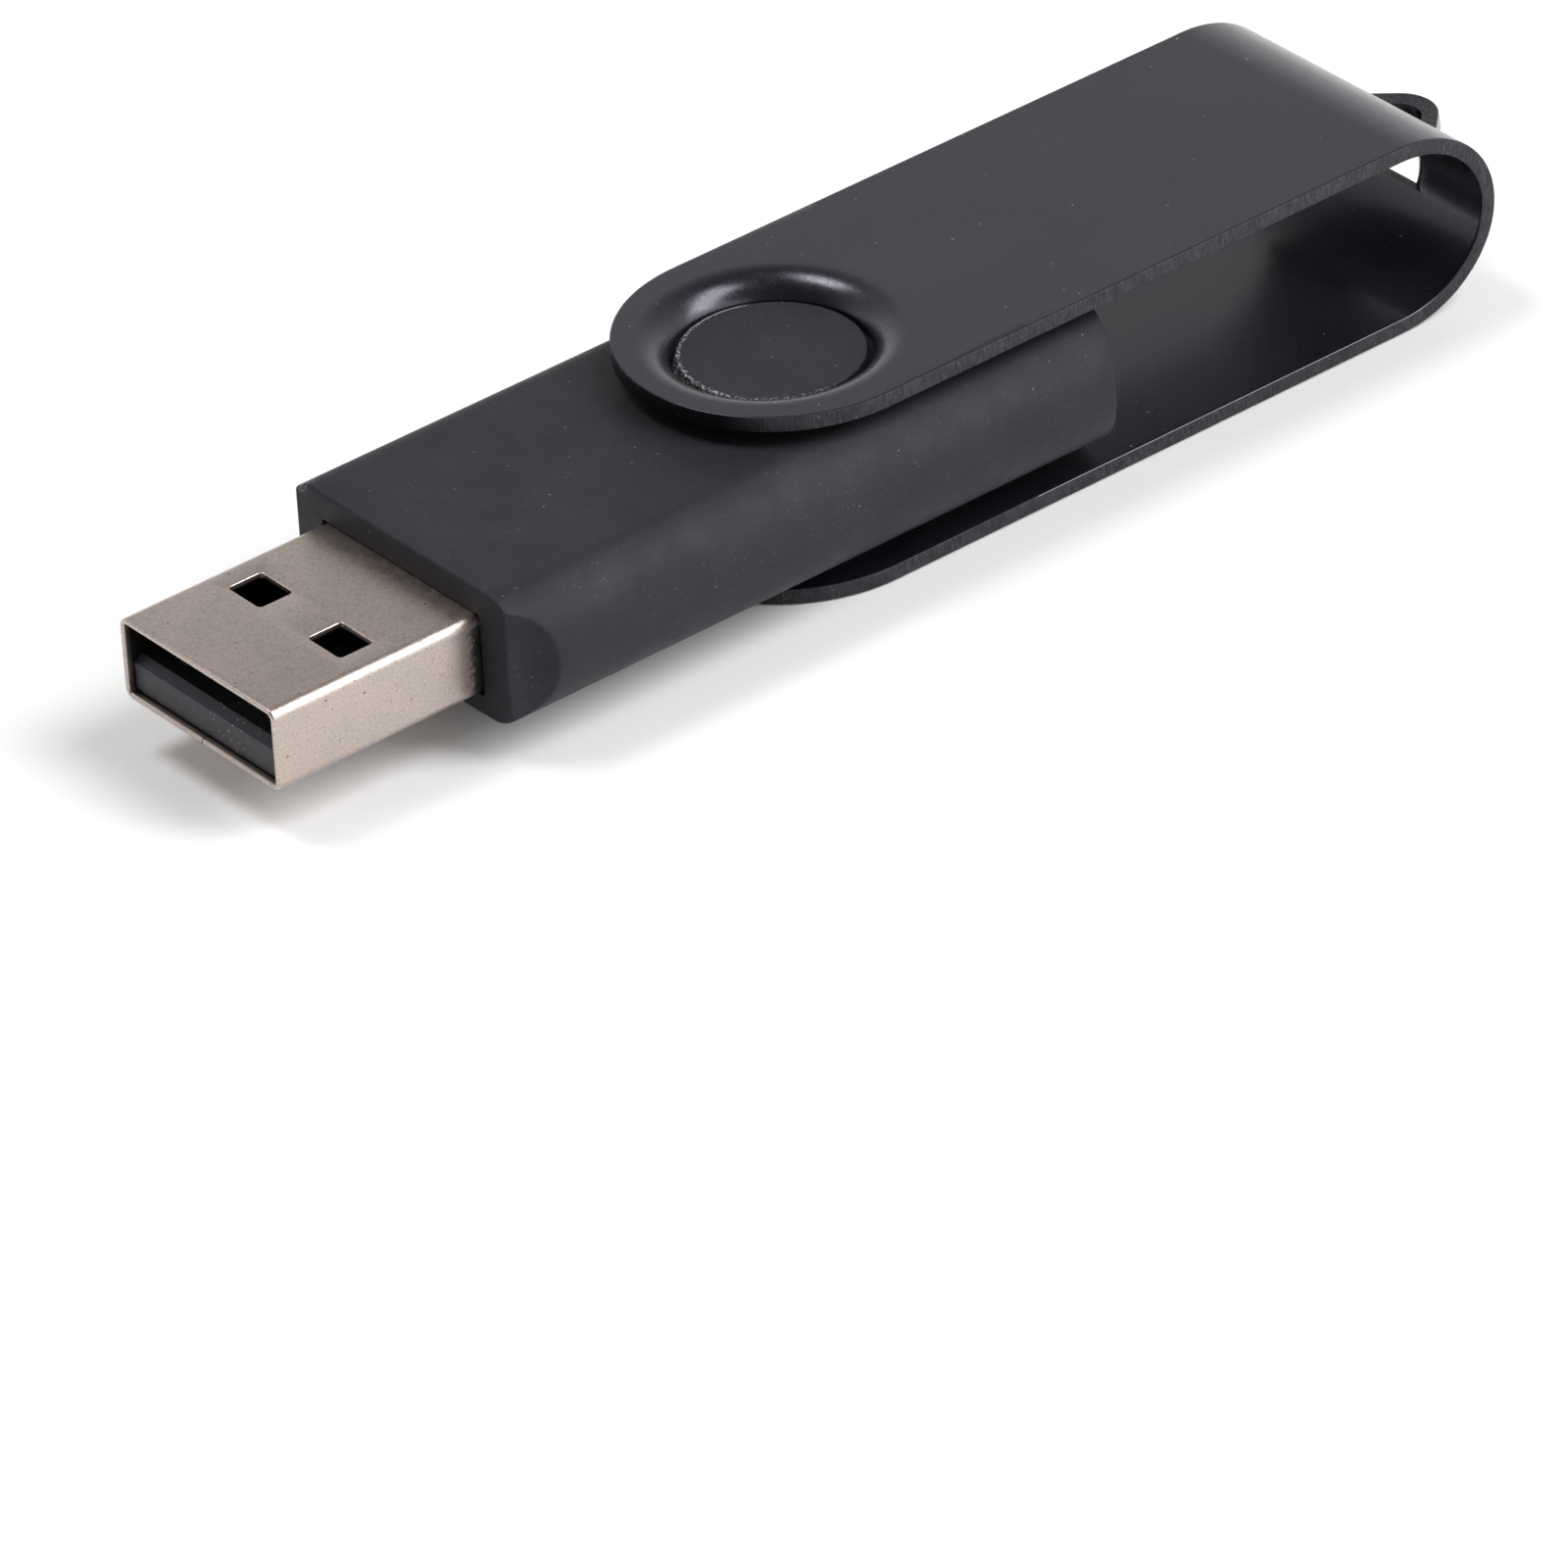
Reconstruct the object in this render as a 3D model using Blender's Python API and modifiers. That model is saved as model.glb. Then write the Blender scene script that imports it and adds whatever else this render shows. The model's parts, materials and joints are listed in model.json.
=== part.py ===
"""Swivel-cover USB flash drive, in metres, +Z up.

The drive lies along X with its plug pointing to -X. A bent sheet-metal cover turns about a vertical
axis through two round bosses on the housing. It is modelled swung back, with its bend and its
key-ring loop at +X and the plug free. Most dimensions below are measured from that axis, and
from the drive's middle height. The origin is under the middle of the whole outline, where it rests.
"""
import math

import bmesh
import bpy

# Housing: two moulded half shells
BODY_WIDTH = 0.0190
BODY_HEIGHT = 0.0072
BODY_FRONT = 0.0232          # swivel axis to the front face
BODY_REAR = 0.0154           # swivel axis to the middle of the rear
SIDE_RADIUS = 0.0040         # bulge of the long sides, seen from the front
REAR_DEPTH = 0.00386         # the rear is part of an ellipse of this depth
REAR_HALF_WIDTH = 0.01055    # and of this half width
SCOOP_RADIUS = 0.00425       # hollow in each front corner
SCOOP_X = -0.0249
SCOOP_Y = 0.01193
SEAM_Z = -0.0002             # parting line of the two halves
SEAM_GAP = 0.00006
WALL_TOP = 0.0011
WALL_FRONT = 0.0013
WALL_REAR = 0.0026
CAVITY_HALF_WIDTH = 0.0074
CAVITY_CORNER = 0.0012
BOSS_RADIUS = 0.00467
BOSS_TOP = 0.00435           # middle height to the face of the boss
PIN_RADIUS = 0.00055
PIN_LENGTH = 0.0009
PIN_PLACES = ((-0.0185, 0.00835), (0.0095, 0.00835))
SOCKET_GAP = 0.0002          # round a pin in its socket
SOCKET_SPARE = 0.0003        # under a pin's end
RAIL_WIDTH = 0.0009
RAIL_Y = 0.0066
RAIL_START_GAP = 0.0006      # behind the plug's tabs
RAIL_END_GAP = 0.0003        # before the rear wall
CHEEK_LENGTH = 0.0030        # blocks that hold the plug from both sides
CHEEK_GAP = 0.0002
CHEEK_BITE = 0.0003          # how far they run into the side walls

# Swivel cover: one bent strip of sheet metal
COVER_WIDTH = 0.0165
COVER_HEIGHT = 0.0106
COVER_REACH = 0.0399         # swivel axis to the outside of the bend
COVER_SHEET = 0.00085
BEND_DEPTH = 0.0062          # the bend is half an ellipse of this depth
END_CENTRE = 0.00055         # centre of the round arm ends
DIMPLE_RADIUS = 0.0067       # where the pressed collar starts
DIMPLE_ROLL = 0.00185        # radius of its rolled edge
DIMPLE_ANGLE = 70.0
COLLAR_LAP = 0.0002          # the collar's overlap with the sheet round it

# Key-ring loop: a strip lanced from the bend and bowed outwards
LOOP_REACH = 0.0430          # swivel axis to the outside of the bow
LOOP_LOW = -0.00145
LOOP_HIGH = 0.00105
LOOP_RADIUS = 0.0016         # at the middle of the strip's thickness
LOOP_ANGLE = 47.0
LOOP_SLOT_HALF = 0.00335
LANCE_GAP = 0.00001          # the strip's roots to the slot above and below them

# USB plug
PLUG_WIDTH = 0.0120
PLUG_HEIGHT = 0.0045
PLUG_SHEET = 0.0003
PLUG_CORNER = 0.00055
PLUG_OUT = 0.0123            # front face to the mouth
PLUG_LENGTH = 0.0188
PLUG_Z = -0.0002
PLUG_GAP = 0.0002            # to the slot in the housing
WINDOW_LENGTH = 0.0020
WINDOW_WIDTH = 0.0025
WINDOW_PITCH = 0.0062
WINDOW_BACK = 0.0063         # mouth to the middle of the windows
SEAM_WIDTH = 0.0001
TAB_LENGTH = 0.0022
TAB_LOW = -0.0019
TAB_HIGH = 0.0004
TONGUE_HEIGHT = 0.0019
TONGUE_BACK = 0.0004         # mouth to the end of the tongue
TONGUE_GAP = 0.0001
TONGUE_NOSE = 0.0004         # chamfer of its front edge
BLOCK_LENGTH = 0.0046        # full-height rear of the insulator
BLOCK_BACK = 0.0002          # rear of the tube to the rear of the insulator

# Contacts, from +Y to -Y: ground, data plus, data minus, power
CONTACT_WIDTH = 0.0010
CONTACT_SHEET = 0.00022
CONTACT_GAP = 0.00012
CONTACT_TAIL = 0.0018
STEP_START = 0.0003          # behind the insulator, where the tail steps down to the board
STEP_END = 0.0006
CONTACTS = {
    "contact_ground": (0.0035, 0.0012),
    "contact_data_plus": (0.0010, 0.0022),
    "contact_data_minus": (-0.0010, 0.0022),
    "contact_power": (-0.0035, 0.0012),
}

# Circuit board and what is soldered to it
BOARD_WIDTH = 0.0142
BOARD_SHEET = 0.0008
BOARD_TOP = -0.00075
BOARD_REAR = 0.0121
BOARD_CORNER = 0.0010
BOARD_GAP = 0.0003           # behind the plug's tube
BOARD_LIFT = 0.00005         # solder under each chip
TAB_GAP = 0.0002             # round the plug's tabs
MEMORY_X = 0.0020
MEMORY_SIZE = (0.0184, 0.0120, 0.0010)
LEAD_COUNT = 24
LEAD_PITCH = 0.0005
LEAD_SIZE = (0.0011, 0.00022, 0.00015)
LEAD_ROOT = 0.0003           # the part of a lead inside the package
LEAD_LIFT = 0.0001
CONTROLLER_X = -0.0070
CONTROLLER_SIZE = (0.0060, 0.0060, 0.00085)
CONTROLLER_EDGE = 0.0001
CRYSTAL_SIZE = (0.0025, 0.0032, 0.0008)
CRYSTAL_EDGE = 0.0002
CAPACITOR_SIZE = (0.0016, 0.0008, 0.0008)
CAPACITOR_EDGE = 0.00008
RESISTOR_SIZE = (0.0016, 0.0008, 0.00045)
RESISTOR_EDGE = 0.00005
CAPACITOR_PLACES = ((-0.0118, 0.0056), (-0.0094, 0.0056), (-0.0094, -0.0056), (-0.0118, -0.0056))
RESISTOR_PLACES = ((-0.0118, 0.0024), (-0.0118, 0.0008), (-0.0118, -0.0008), (-0.0118, -0.0024))
CRYSTAL_PLACE = (-0.0094, 0.0000)

# The origin: under the middle of the outline, on the lower arm's outer face
PLUG_MOUTH = -(BODY_FRONT + PLUG_OUT)
AXIS_X = -(LOOP_REACH + PLUG_MOUTH) / 2
AXIS_Z = COVER_HEIGHT / 2

# Faceting of the curves
ROUND_STEPS = 48
PIN_STEPS = 16
SCOOP_STEPS = 12
REAR_STEPS = 24
SIDE_STEPS = 8
ARM_STEPS = 32
BEND_STEPS = 32
ROLL_STEPS = 8
LOOP_STEPS = 12
CORNER_STEPS = 4

# Cutters
OVERCUT = 0.0005             # how far a cutter or a joined block runs past a face
HAIR = 0.000001              # keeps joined surfaces from lying exactly in each other
FAR = 0.0500                 # clear of everything

COLOURS = {                  # name: colour, roughness, metallic
    "soft_touch_black": ((0.045, 0.045, 0.050, 1.0), 0.62, 0.0),
    "cover_black": ((0.022, 0.021, 0.024, 1.0), 0.38, 0.3),
    "plug_nickel": ((0.56, 0.51, 0.47, 1.0), 0.32, 1.0),
    "insulator_black": ((0.030, 0.031, 0.034, 1.0), 0.45, 0.0),
    "contact_gold": ((0.80, 0.58, 0.24, 1.0), 0.25, 1.0),
    "board_green": ((0.03, 0.16, 0.07, 1.0), 0.50, 0.0),
    "chip_black": ((0.020, 0.020, 0.022, 1.0), 0.60, 0.0),
    "crystal_steel": ((0.62, 0.62, 0.60, 1.0), 0.30, 1.0),
    "capacitor_tan": ((0.42, 0.29, 0.17, 1.0), 0.50, 0.0),
    "resistor_black": ((0.030, 0.030, 0.035, 1.0), 0.40, 0.0),
}


def clear_scene():
    for obj in list(bpy.data.objects):
        bpy.data.objects.remove(obj, do_unlink=True)
    for group in list(bpy.data.collections):
        bpy.data.collections.remove(group)


def new_collection(name):
    group = bpy.data.collections.new(name)
    bpy.context.scene.collection.children.link(group)
    return group


def new_material(name):
    colour, roughness, metallic = COLOURS[name]
    mat = bpy.data.materials.new(name)
    mat.use_nodes = True
    shader = mat.node_tree.nodes["Principled BSDF"]
    shader.inputs["Base Color"].default_value = colour
    shader.inputs["Roughness"].default_value = roughness
    shader.inputs["Metallic"].default_value = metallic
    mat.diffuse_color = colour
    return mat


clear_scene()
PARTS = new_collection("usb_flash_drive")
CUTTERS = new_collection("cutters")
MATERIALS = {name: new_material(name) for name in COLOURS}


def new_empty(name):
    """An empty on the swivel axis, at the drive's middle height."""
    empty = bpy.data.objects.new(name, None)
    empty.location = (AXIS_X, 0.0, AXIS_Z)
    empty.empty_display_size = 0.005
    PARTS.objects.link(empty)
    return empty


DRIVE = new_empty("drive_axis")
SWIVEL = new_empty("swivel_axis")


def arc(centre, radius, start, end, steps):
    """Points of an arc, from one angle to another in degrees."""
    for i in range(steps + 1):
        angle = math.radians(start + (end - start) * i / steps)
        yield centre[0] + radius * math.cos(angle), centre[1] + radius * math.sin(angle)


def add_object(name, mesh, material=None):
    """A named piece where a material is given, and otherwise a cutter."""
    obj = bpy.data.objects.new(name, mesh)
    if material:
        PARTS.objects.link(obj)
        mesh.materials.clear()
        mesh.materials.append(MATERIALS[material])
    else:
        CUTTERS.objects.link(obj)
        obj.hide_render = True
        obj.display_type = "WIRE"
    obj.parent = DRIVE
    return obj


def prism(name, outline, low, high, along="Z", material=None):
    """A flat outline carried straight from low to high.

    Its points are (x, y) along Z, (y, z) along X, and (x, z) along Y.
    """
    curve = bpy.data.curves.new(name, "CURVE")
    curve.dimensions = "2D"
    curve.fill_mode = "BOTH"
    curve.extrude = (high - low) / 2
    points = list(outline)
    spline = curve.splines.new("POLY")
    spline.points.add(len(points) - 1)
    for point, (u, v) in zip(spline.points, points):
        point.co = (u, v, 0.0, 1.0)
    spline.use_cyclic_u = True
    guide = bpy.data.objects.new(name, curve)
    middle = (low + high) / 2
    if along == "X":
        guide.rotation_euler = (math.pi / 2, 0.0, math.pi / 2)
        guide.location.x = middle
    elif along == "Y":
        guide.rotation_euler = (math.pi / 2, 0.0, 0.0)
        guide.location.y = middle
    else:
        guide.location.z = middle
    PARTS.objects.link(guide)
    bpy.context.view_layer.update()
    drawn = guide.evaluated_get(bpy.context.evaluated_depsgraph_get())
    mesh = bpy.data.meshes.new_from_object(drawn)
    shape = bmesh.new()
    shape.from_mesh(mesh)
    bmesh.ops.remove_doubles(shape, verts=shape.verts, dist=1e-7)
    bmesh.ops.recalc_face_normals(shape, faces=shape.faces)
    shape.to_mesh(mesh)
    shape.free()
    placed = guide.matrix_world.copy()
    bpy.data.objects.remove(guide, do_unlink=True)
    bpy.data.curves.remove(curve)
    obj = add_object(name, mesh, material)
    obj.matrix_basis = placed
    return obj


def box(name, low, high, material=None):
    """A block between two opposite corners, with its origin at its middle."""
    mesh = bpy.data.meshes.new(name)
    shape = bmesh.new()
    bmesh.ops.create_cube(shape, size=1.0)
    size = [b - a for a, b in zip(low, high)]
    bmesh.ops.scale(shape, vec=size, verts=shape.verts)
    shape.to_mesh(mesh)
    shape.free()
    obj = add_object(name, mesh, material)
    obj.location = [(a + b) / 2 for a, b in zip(low, high)]
    return obj


def cylinder(name, x, y, radius, low, high, steps=ROUND_STEPS):
    mesh = bpy.data.meshes.new(name)
    shape = bmesh.new()
    bmesh.ops.create_cone(
        shape, cap_ends=True, segments=steps, radius1=radius, radius2=radius, depth=high - low)
    shape.to_mesh(mesh)
    shape.free()
    obj = add_object(name, mesh)
    obj.location = (x, y, (low + high) / 2)
    return obj


def combine(obj, tool, operation="DIFFERENCE"):
    modifier = obj.modifiers.new(tool.name, "BOOLEAN")
    modifier.operation = operation
    modifier.object = tool
    modifier.solver = "EXACT"


def round_edges(obj, width, segments=1):
    modifier = obj.modifiers.new("rounded_edges", "BEVEL")
    modifier.width = width
    modifier.segments = segments
    modifier.limit_method = "ANGLE"
    modifier.angle_limit = math.radians(40)


def shade(obj):
    obj.data.shade_smooth()
    obj.data.set_sharp_from_angle(angle=math.radians(35))


# ---------------------------------------------------------------- housing

def body_plan():
    """Outline from above: flat front, two hollow front corners and an elliptical rear."""
    side = BODY_WIDTH / 2 + OVERCUT
    front_angle = math.degrees(math.acos((-BODY_FRONT - SCOOP_X) / SCOOP_RADIUS))
    side_angle = math.degrees(math.asin((SCOOP_Y - side) / SCOOP_RADIUS))
    yield from arc((SCOOP_X, -SCOOP_Y), SCOOP_RADIUS, front_angle, side_angle, SCOOP_STEPS)
    rear_angle = math.degrees(math.asin(side / REAR_HALF_WIDTH))
    for i in range(REAR_STEPS + 1):
        angle = math.radians(-rear_angle + 2 * rear_angle * i / REAR_STEPS)
        x = BODY_REAR - REAR_DEPTH + REAR_DEPTH * math.cos(angle)
        yield x, REAR_HALF_WIDTH * math.sin(angle)
    yield from arc((SCOOP_X, SCOOP_Y), SCOOP_RADIUS, -side_angle, -front_angle, SCOOP_STEPS)


def half_section(side):
    """Outline of one half from the front: flat face, bulged sides and the parting plane."""
    centre = BODY_WIDTH / 2 - SIDE_RADIUS
    seam = SEAM_Z + side * SEAM_GAP / 2
    start = math.degrees(math.asin(seam / SIDE_RADIUS))
    end = side * math.degrees(math.asin(BODY_HEIGHT / 2 / SIDE_RADIUS))
    yield from arc((centre, 0.0), SIDE_RADIUS, start, end, SIDE_STEPS)
    yield from arc((-centre, 0.0), SIDE_RADIUS, 180 - end, 180 - start, SIDE_STEPS)


def rounded_rectangle(x_low, x_high, y_half, radius):
    inner = y_half - radius
    yield from arc((x_high - radius, inner), radius, 0, 90, CORNER_STEPS)
    yield from arc((x_low + radius, inner), radius, 90, 180, CORNER_STEPS)
    yield from arc((x_low + radius, -inner), radius, 180, 270, CORNER_STEPS)
    yield from arc((x_high - radius, -inner), radius, 270, 360, CORNER_STEPS)


def plug_slot():
    half_width = PLUG_WIDTH / 2 + PLUG_GAP
    half_height = PLUG_HEIGHT / 2 + PLUG_GAP
    return box(
        "plug_slot",
        (-FAR, -half_width, PLUG_Z - half_height),
        (-BODY_FRONT + WALL_FRONT + OVERCUT, half_width, PLUG_Z + half_height))


def housing_half(name, side):
    """One half shell, with its boss, its cavity and its part of the plug's slot."""
    half = prism(name, half_section(side), -FAR, FAR, "X", "soft_touch_black")
    combine(half, prism(f"{name}_plan", body_plan(), -FAR, FAR), "INTERSECT")
    ends = sorted((side * (BODY_HEIGHT / 2 - OVERCUT), side * BOSS_TOP))
    combine(half, cylinder(f"{name}_boss", 0.0, 0.0, BOSS_RADIUS, *ends), "UNION")
    ceiling = sorted((-side * FAR, side * (BODY_HEIGHT / 2 - WALL_TOP)))
    cavity = rounded_rectangle(
        -BODY_FRONT + WALL_FRONT, BODY_REAR - WALL_REAR, CAVITY_HALF_WIDTH, CAVITY_CORNER)
    combine(half, prism(f"{name}_cavity", cavity, *ceiling))
    combine(half, SLOT)
    return half


def add_rails(half, side, board_face):
    """Two rails along the cavity, which hold the circuit board from one side."""
    outer = side * (BODY_HEIGHT / 2 - WALL_TOP / 2)
    ends = sorted((board_face + side * BOARD_LIFT, outer))
    for hand in (-1, 1):
        y_ends = sorted((hand * (RAIL_Y - RAIL_WIDTH / 2), hand * (RAIL_Y + RAIL_WIDTH / 2)))
        rail = box(
            f"{half.name}_rail_{hand}",
            (RAIL_FRONT, y_ends[0], ends[0]), (RAIL_REAR, y_ends[1], ends[1]))
        combine(half, rail, "UNION")


def add_cheeks(half, side):
    """Blocks behind the front wall, on both sides of the plug."""
    front = -BODY_FRONT + WALL_FRONT / 2
    ends = sorted((SEAM_Z + side * SEAM_GAP / 2, side * (BODY_HEIGHT / 2 - WALL_TOP / 2)))
    for hand in (-1, 1):
        y_ends = sorted((
            hand * (PLUG_WIDTH / 2 + CHEEK_GAP), hand * (CAVITY_HALF_WIDTH + CHEEK_BITE)))
        cheek = box(
            f"{half.name}_cheek_{hand}",
            (front, y_ends[0], ends[0]), (front + CHEEK_LENGTH, y_ends[1], ends[1]))
        combine(half, cheek, "UNION")


def add_pins(half, radius, length, operation):
    """Pins on the upper half's parting face, or their sockets in the lower one."""
    for i, (x, y) in enumerate(PIN_PLACES):
        for hand in (-1, 1):
            pin = cylinder(
                f"{half.name}_pin_{i}_{hand}", x, hand * y, radius,
                SEAM_Z - length, SEAM_Z + OVERCUT, PIN_STEPS)
            combine(half, pin, operation)


# ------------------------------------------------------------ swivel cover

def cover_profile():
    """The cover from the side: lower arm, elliptical bend, upper arm."""
    half = COVER_HEIGHT / 2
    yield -FAR, -half
    for i in range(BEND_STEPS + 1):
        angle = math.radians(-90 + 180 * i / BEND_STEPS)
        x = COVER_REACH - BEND_DEPTH + BEND_DEPTH * math.cos(angle)
        yield x, half * math.sin(angle)
    yield -FAR, half


def cover_sheet():
    """The bent strip, wider and longer than the cover until its plan is cut."""
    mesh = bpy.data.meshes.new("swivel_cover")
    shape = bmesh.new()
    row = [shape.verts.new((x, -COVER_WIDTH, z)) for x, z in cover_profile()]
    edges = [shape.edges.new(pair) for pair in zip(row, row[1:])]
    swept = bmesh.ops.extrude_edge_only(shape, edges=edges)["geom"]
    moved = [item for item in swept if isinstance(item, bmesh.types.BMVert)]
    bmesh.ops.translate(shape, vec=(0.0, 2 * COVER_WIDTH, 0.0), verts=moved)
    bmesh.ops.recalc_face_normals(shape, faces=shape.faces)
    lowest = min(shape.faces, key=lambda face: face.calc_center_median().z)
    if lowest.normal.z > 0:
        bmesh.ops.reverse_faces(shape, faces=shape.faces)
    shape.to_mesh(mesh)
    shape.free()
    cover = add_object("swivel_cover", mesh, "cover_black")
    cover.parent = SWIVEL
    thick = cover.modifiers.new("sheet", "SOLIDIFY")
    thick.thickness = COVER_SHEET
    thick.offset = -1.0
    thick.use_even_offset = True
    return cover


def cover_plan():
    """The cover from above: straight sides and a round arm end."""
    half = COVER_WIDTH / 2
    yield from arc((END_CENTRE, 0.0), half, 90, 270, ARM_STEPS)
    yield FAR, -half
    yield FAR, half


def collar(side):
    """The pressed collar of one arm: a turned ring whose edge rolls in towards the housing."""
    half = COVER_HEIGHT / 2
    centre = half - DIMPLE_ROLL
    outside = [(DIMPLE_RADIUS + COLLAR_LAP, half - HAIR)]
    inside = [(DIMPLE_RADIUS + COLLAR_LAP, half - COVER_SHEET + HAIR)]
    rows = (outside, DIMPLE_ROLL - HAIR), (inside, DIMPLE_ROLL - COVER_SHEET + HAIR)
    for i in range(ROLL_STEPS + 1):
        angle = math.radians(DIMPLE_ANGLE * i / ROLL_STEPS)
        for row, radius in rows:
            row.append((DIMPLE_RADIUS - radius * math.sin(angle), centre + radius * math.cos(angle)))
    mesh = bpy.data.meshes.new("collar")
    shape = bmesh.new()
    verts = [shape.verts.new((r, 0.0, side * z)) for r, z in outside + inside[::-1]]
    if side > 0:
        verts.reverse()
    for pair in zip(verts, verts[1:] + verts[:1]):
        shape.edges.new(pair)
    shape.to_mesh(mesh)
    shape.free()
    ring = add_object(f"collar_{side}", mesh)
    turn = ring.modifiers.new("turned", "SCREW")
    turn.steps = ROUND_STEPS
    turn.render_steps = ROUND_STEPS
    turn.use_merge_vertices = True
    turn.merge_threshold = 0.00001
    turn.use_smooth_shade = False
    return ring


def loop_outline():
    """The bowed strip from above: a round crown and two straight flanks that end in the wall."""
    angle = LOOP_ANGLE
    centre = LOOP_REACH - COVER_SHEET / 2 - LOOP_RADIUS
    wall = COVER_REACH - COVER_SHEET / 2
    lean = math.radians(angle)
    flank = (centre + LOOP_RADIUS * math.cos(lean) - wall) / math.sin(lean)
    step = (-flank * math.sin(lean), flank * math.cos(lean))
    outer = list(arc((centre, 0.0), LOOP_RADIUS + COVER_SHEET / 2, -angle, angle, LOOP_STEPS))
    inner = list(arc((centre, 0.0), LOOP_RADIUS - COVER_SHEET / 2, angle, -angle, LOOP_STEPS))
    yield from outer
    yield outer[-1][0] + step[0], outer[-1][1] + step[1]
    yield inner[0][0] + step[0], inner[0][1] + step[1]
    yield from inner
    yield inner[-1][0] + step[0], inner[-1][1] - step[1]
    yield outer[0][0] + step[0], outer[0][1] - step[1]


def swivel_cover():
    cover = cover_sheet()
    combine(cover, prism("cover_plan", cover_plan(), -FAR, FAR), "INTERSECT")
    for side in (-1, 1):
        ends = sorted((side * COVER_HEIGHT / 4, side * COVER_HEIGHT))
        hole = cylinder(f"collar_hole_{side}", 0.0, 0.0, DIMPLE_RADIUS + COLLAR_LAP / 2, *ends)
        combine(cover, hole)
        combine(cover, collar(side), "UNION")
    slot = box(
        "loop_slot",
        (COVER_REACH - 2 * COVER_SHEET, -LOOP_SLOT_HALF, LOOP_LOW),
        (COVER_REACH + COVER_SHEET, LOOP_SLOT_HALF, LOOP_HIGH))
    combine(cover, slot)
    strip = prism("loop_strip", loop_outline(), LOOP_LOW + LANCE_GAP, LOOP_HIGH - LANCE_GAP)
    combine(cover, strip, "UNION")
    return cover


# -------------------------------------------------------------------- plug

def plug_shell():
    """A folded tube with two windows in its top and bottom and two solder tabs at its rear."""
    radius = PLUG_CORNER
    mesh = bpy.data.meshes.new("plug_shell")
    shape = bmesh.new()
    half_width = PLUG_WIDTH / 2
    ring = []
    for z, y in rounded_rectangle(-PLUG_HEIGHT / 2, PLUG_HEIGHT / 2, half_width, radius):
        ring.append(shape.verts.new((PLUG_MOUTH, y, z + PLUG_Z)))
    edges = [shape.edges.new(pair) for pair in zip(ring, ring[1:] + ring[:1])]
    swept = bmesh.ops.extrude_edge_only(shape, edges=edges)["geom"]
    moved = [item for item in swept if isinstance(item, bmesh.types.BMVert)]
    bmesh.ops.translate(shape, vec=(PLUG_LENGTH + TAB_LENGTH, 0.0, 0.0), verts=moved)
    for face in shape.faces:
        centre = face.calc_center_median()
        if face.normal.y * centre.y + face.normal.z * (centre.z - PLUG_Z) < 0:
            face.normal_flip()
    shape.to_mesh(mesh)
    shape.free()
    shell = add_object("plug_shell", mesh, "plug_nickel")
    thick = shell.modifiers.new("sheet", "SOLIDIFY")
    thick.thickness = PLUG_SHEET
    thick.offset = -1.0
    thick.use_even_offset = True
    x = PLUG_MOUTH + WINDOW_BACK
    for hand in (-1, 1):
        y = hand * WINDOW_PITCH / 2
        window = box(
            f"plug_window_{hand}",
            (x - WINDOW_LENGTH / 2, y - WINDOW_WIDTH / 2, -FAR),
            (x + WINDOW_LENGTH / 2, y + WINDOW_WIDTH / 2, FAR))
        combine(shell, window)
    combine(shell, box(
        "plug_seam", (-FAR, -SEAM_WIDTH / 2, -FAR), (FAR, SEAM_WIDTH / 2, PLUG_Z)))
    rear = PLUG_MOUTH + PLUG_LENGTH
    inner = half_width - radius
    combine(shell, box("plug_rear_middle", (rear, -inner, -FAR), (FAR, inner, FAR)))
    combine(shell, box("plug_rear_top", (rear, -FAR, TAB_HIGH), (FAR, FAR, FAR)))
    combine(shell, box("plug_rear_bottom", (rear, -FAR, -FAR), (FAR, FAR, TAB_LOW)))
    return shell


def plug_insulator():
    """The tongue that carries the contacts, and the block behind it that fills the shell."""
    half_width = PLUG_WIDTH / 2 - PLUG_SHEET - TONGUE_GAP
    floor = PLUG_Z - PLUG_HEIGHT / 2 + PLUG_SHEET + TONGUE_GAP
    ceiling = PLUG_Z + PLUG_HEIGHT / 2 - PLUG_SHEET - TONGUE_GAP
    front = PLUG_MOUTH + TONGUE_BACK
    rear = PLUG_MOUTH + PLUG_LENGTH - BLOCK_BACK
    step = rear - BLOCK_LENGTH
    top = floor + TONGUE_HEIGHT
    side_view = (
        (front, floor), (rear, floor), (rear, ceiling), (step, ceiling),
        (step, top), (front + TONGUE_NOSE, top), (front, top - TONGUE_NOSE))
    block = prism("plug_insulator", side_view, -half_width, half_width, "Y", "insulator_black")
    for name, (y, start) in CONTACTS.items():
        half = CONTACT_WIDTH / 2 + CONTACT_GAP
        low = top - CONTACT_SHEET - CONTACT_GAP
        combine(block, box(
            f"{name}_groove",
            (front + start - CONTACT_GAP, y - half, low),
            (rear + OVERCUT, y + half, top + CONTACT_GAP)))
    return block, top, rear


def contact(name, y, start, top, rear):
    """A flat spring strip in its groove, with a tail that steps down to the board."""
    low = top - CONTACT_SHEET
    front = PLUG_MOUTH + TONGUE_BACK + start
    tail = BOARD_TOP + BOARD_LIFT
    side_view = (
        (front, low), (rear + STEP_START, low), (rear + STEP_END, tail), (rear + CONTACT_TAIL, tail),
        (rear + CONTACT_TAIL, tail + CONTACT_SHEET), (rear + STEP_END, tail + CONTACT_SHEET),
        (rear + STEP_START, top), (front, top))
    return prism(
        name, side_view, y - CONTACT_WIDTH / 2, y + CONTACT_WIDTH / 2, "Y", "contact_gold")


# ------------------------------------------------------------------- board

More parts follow.
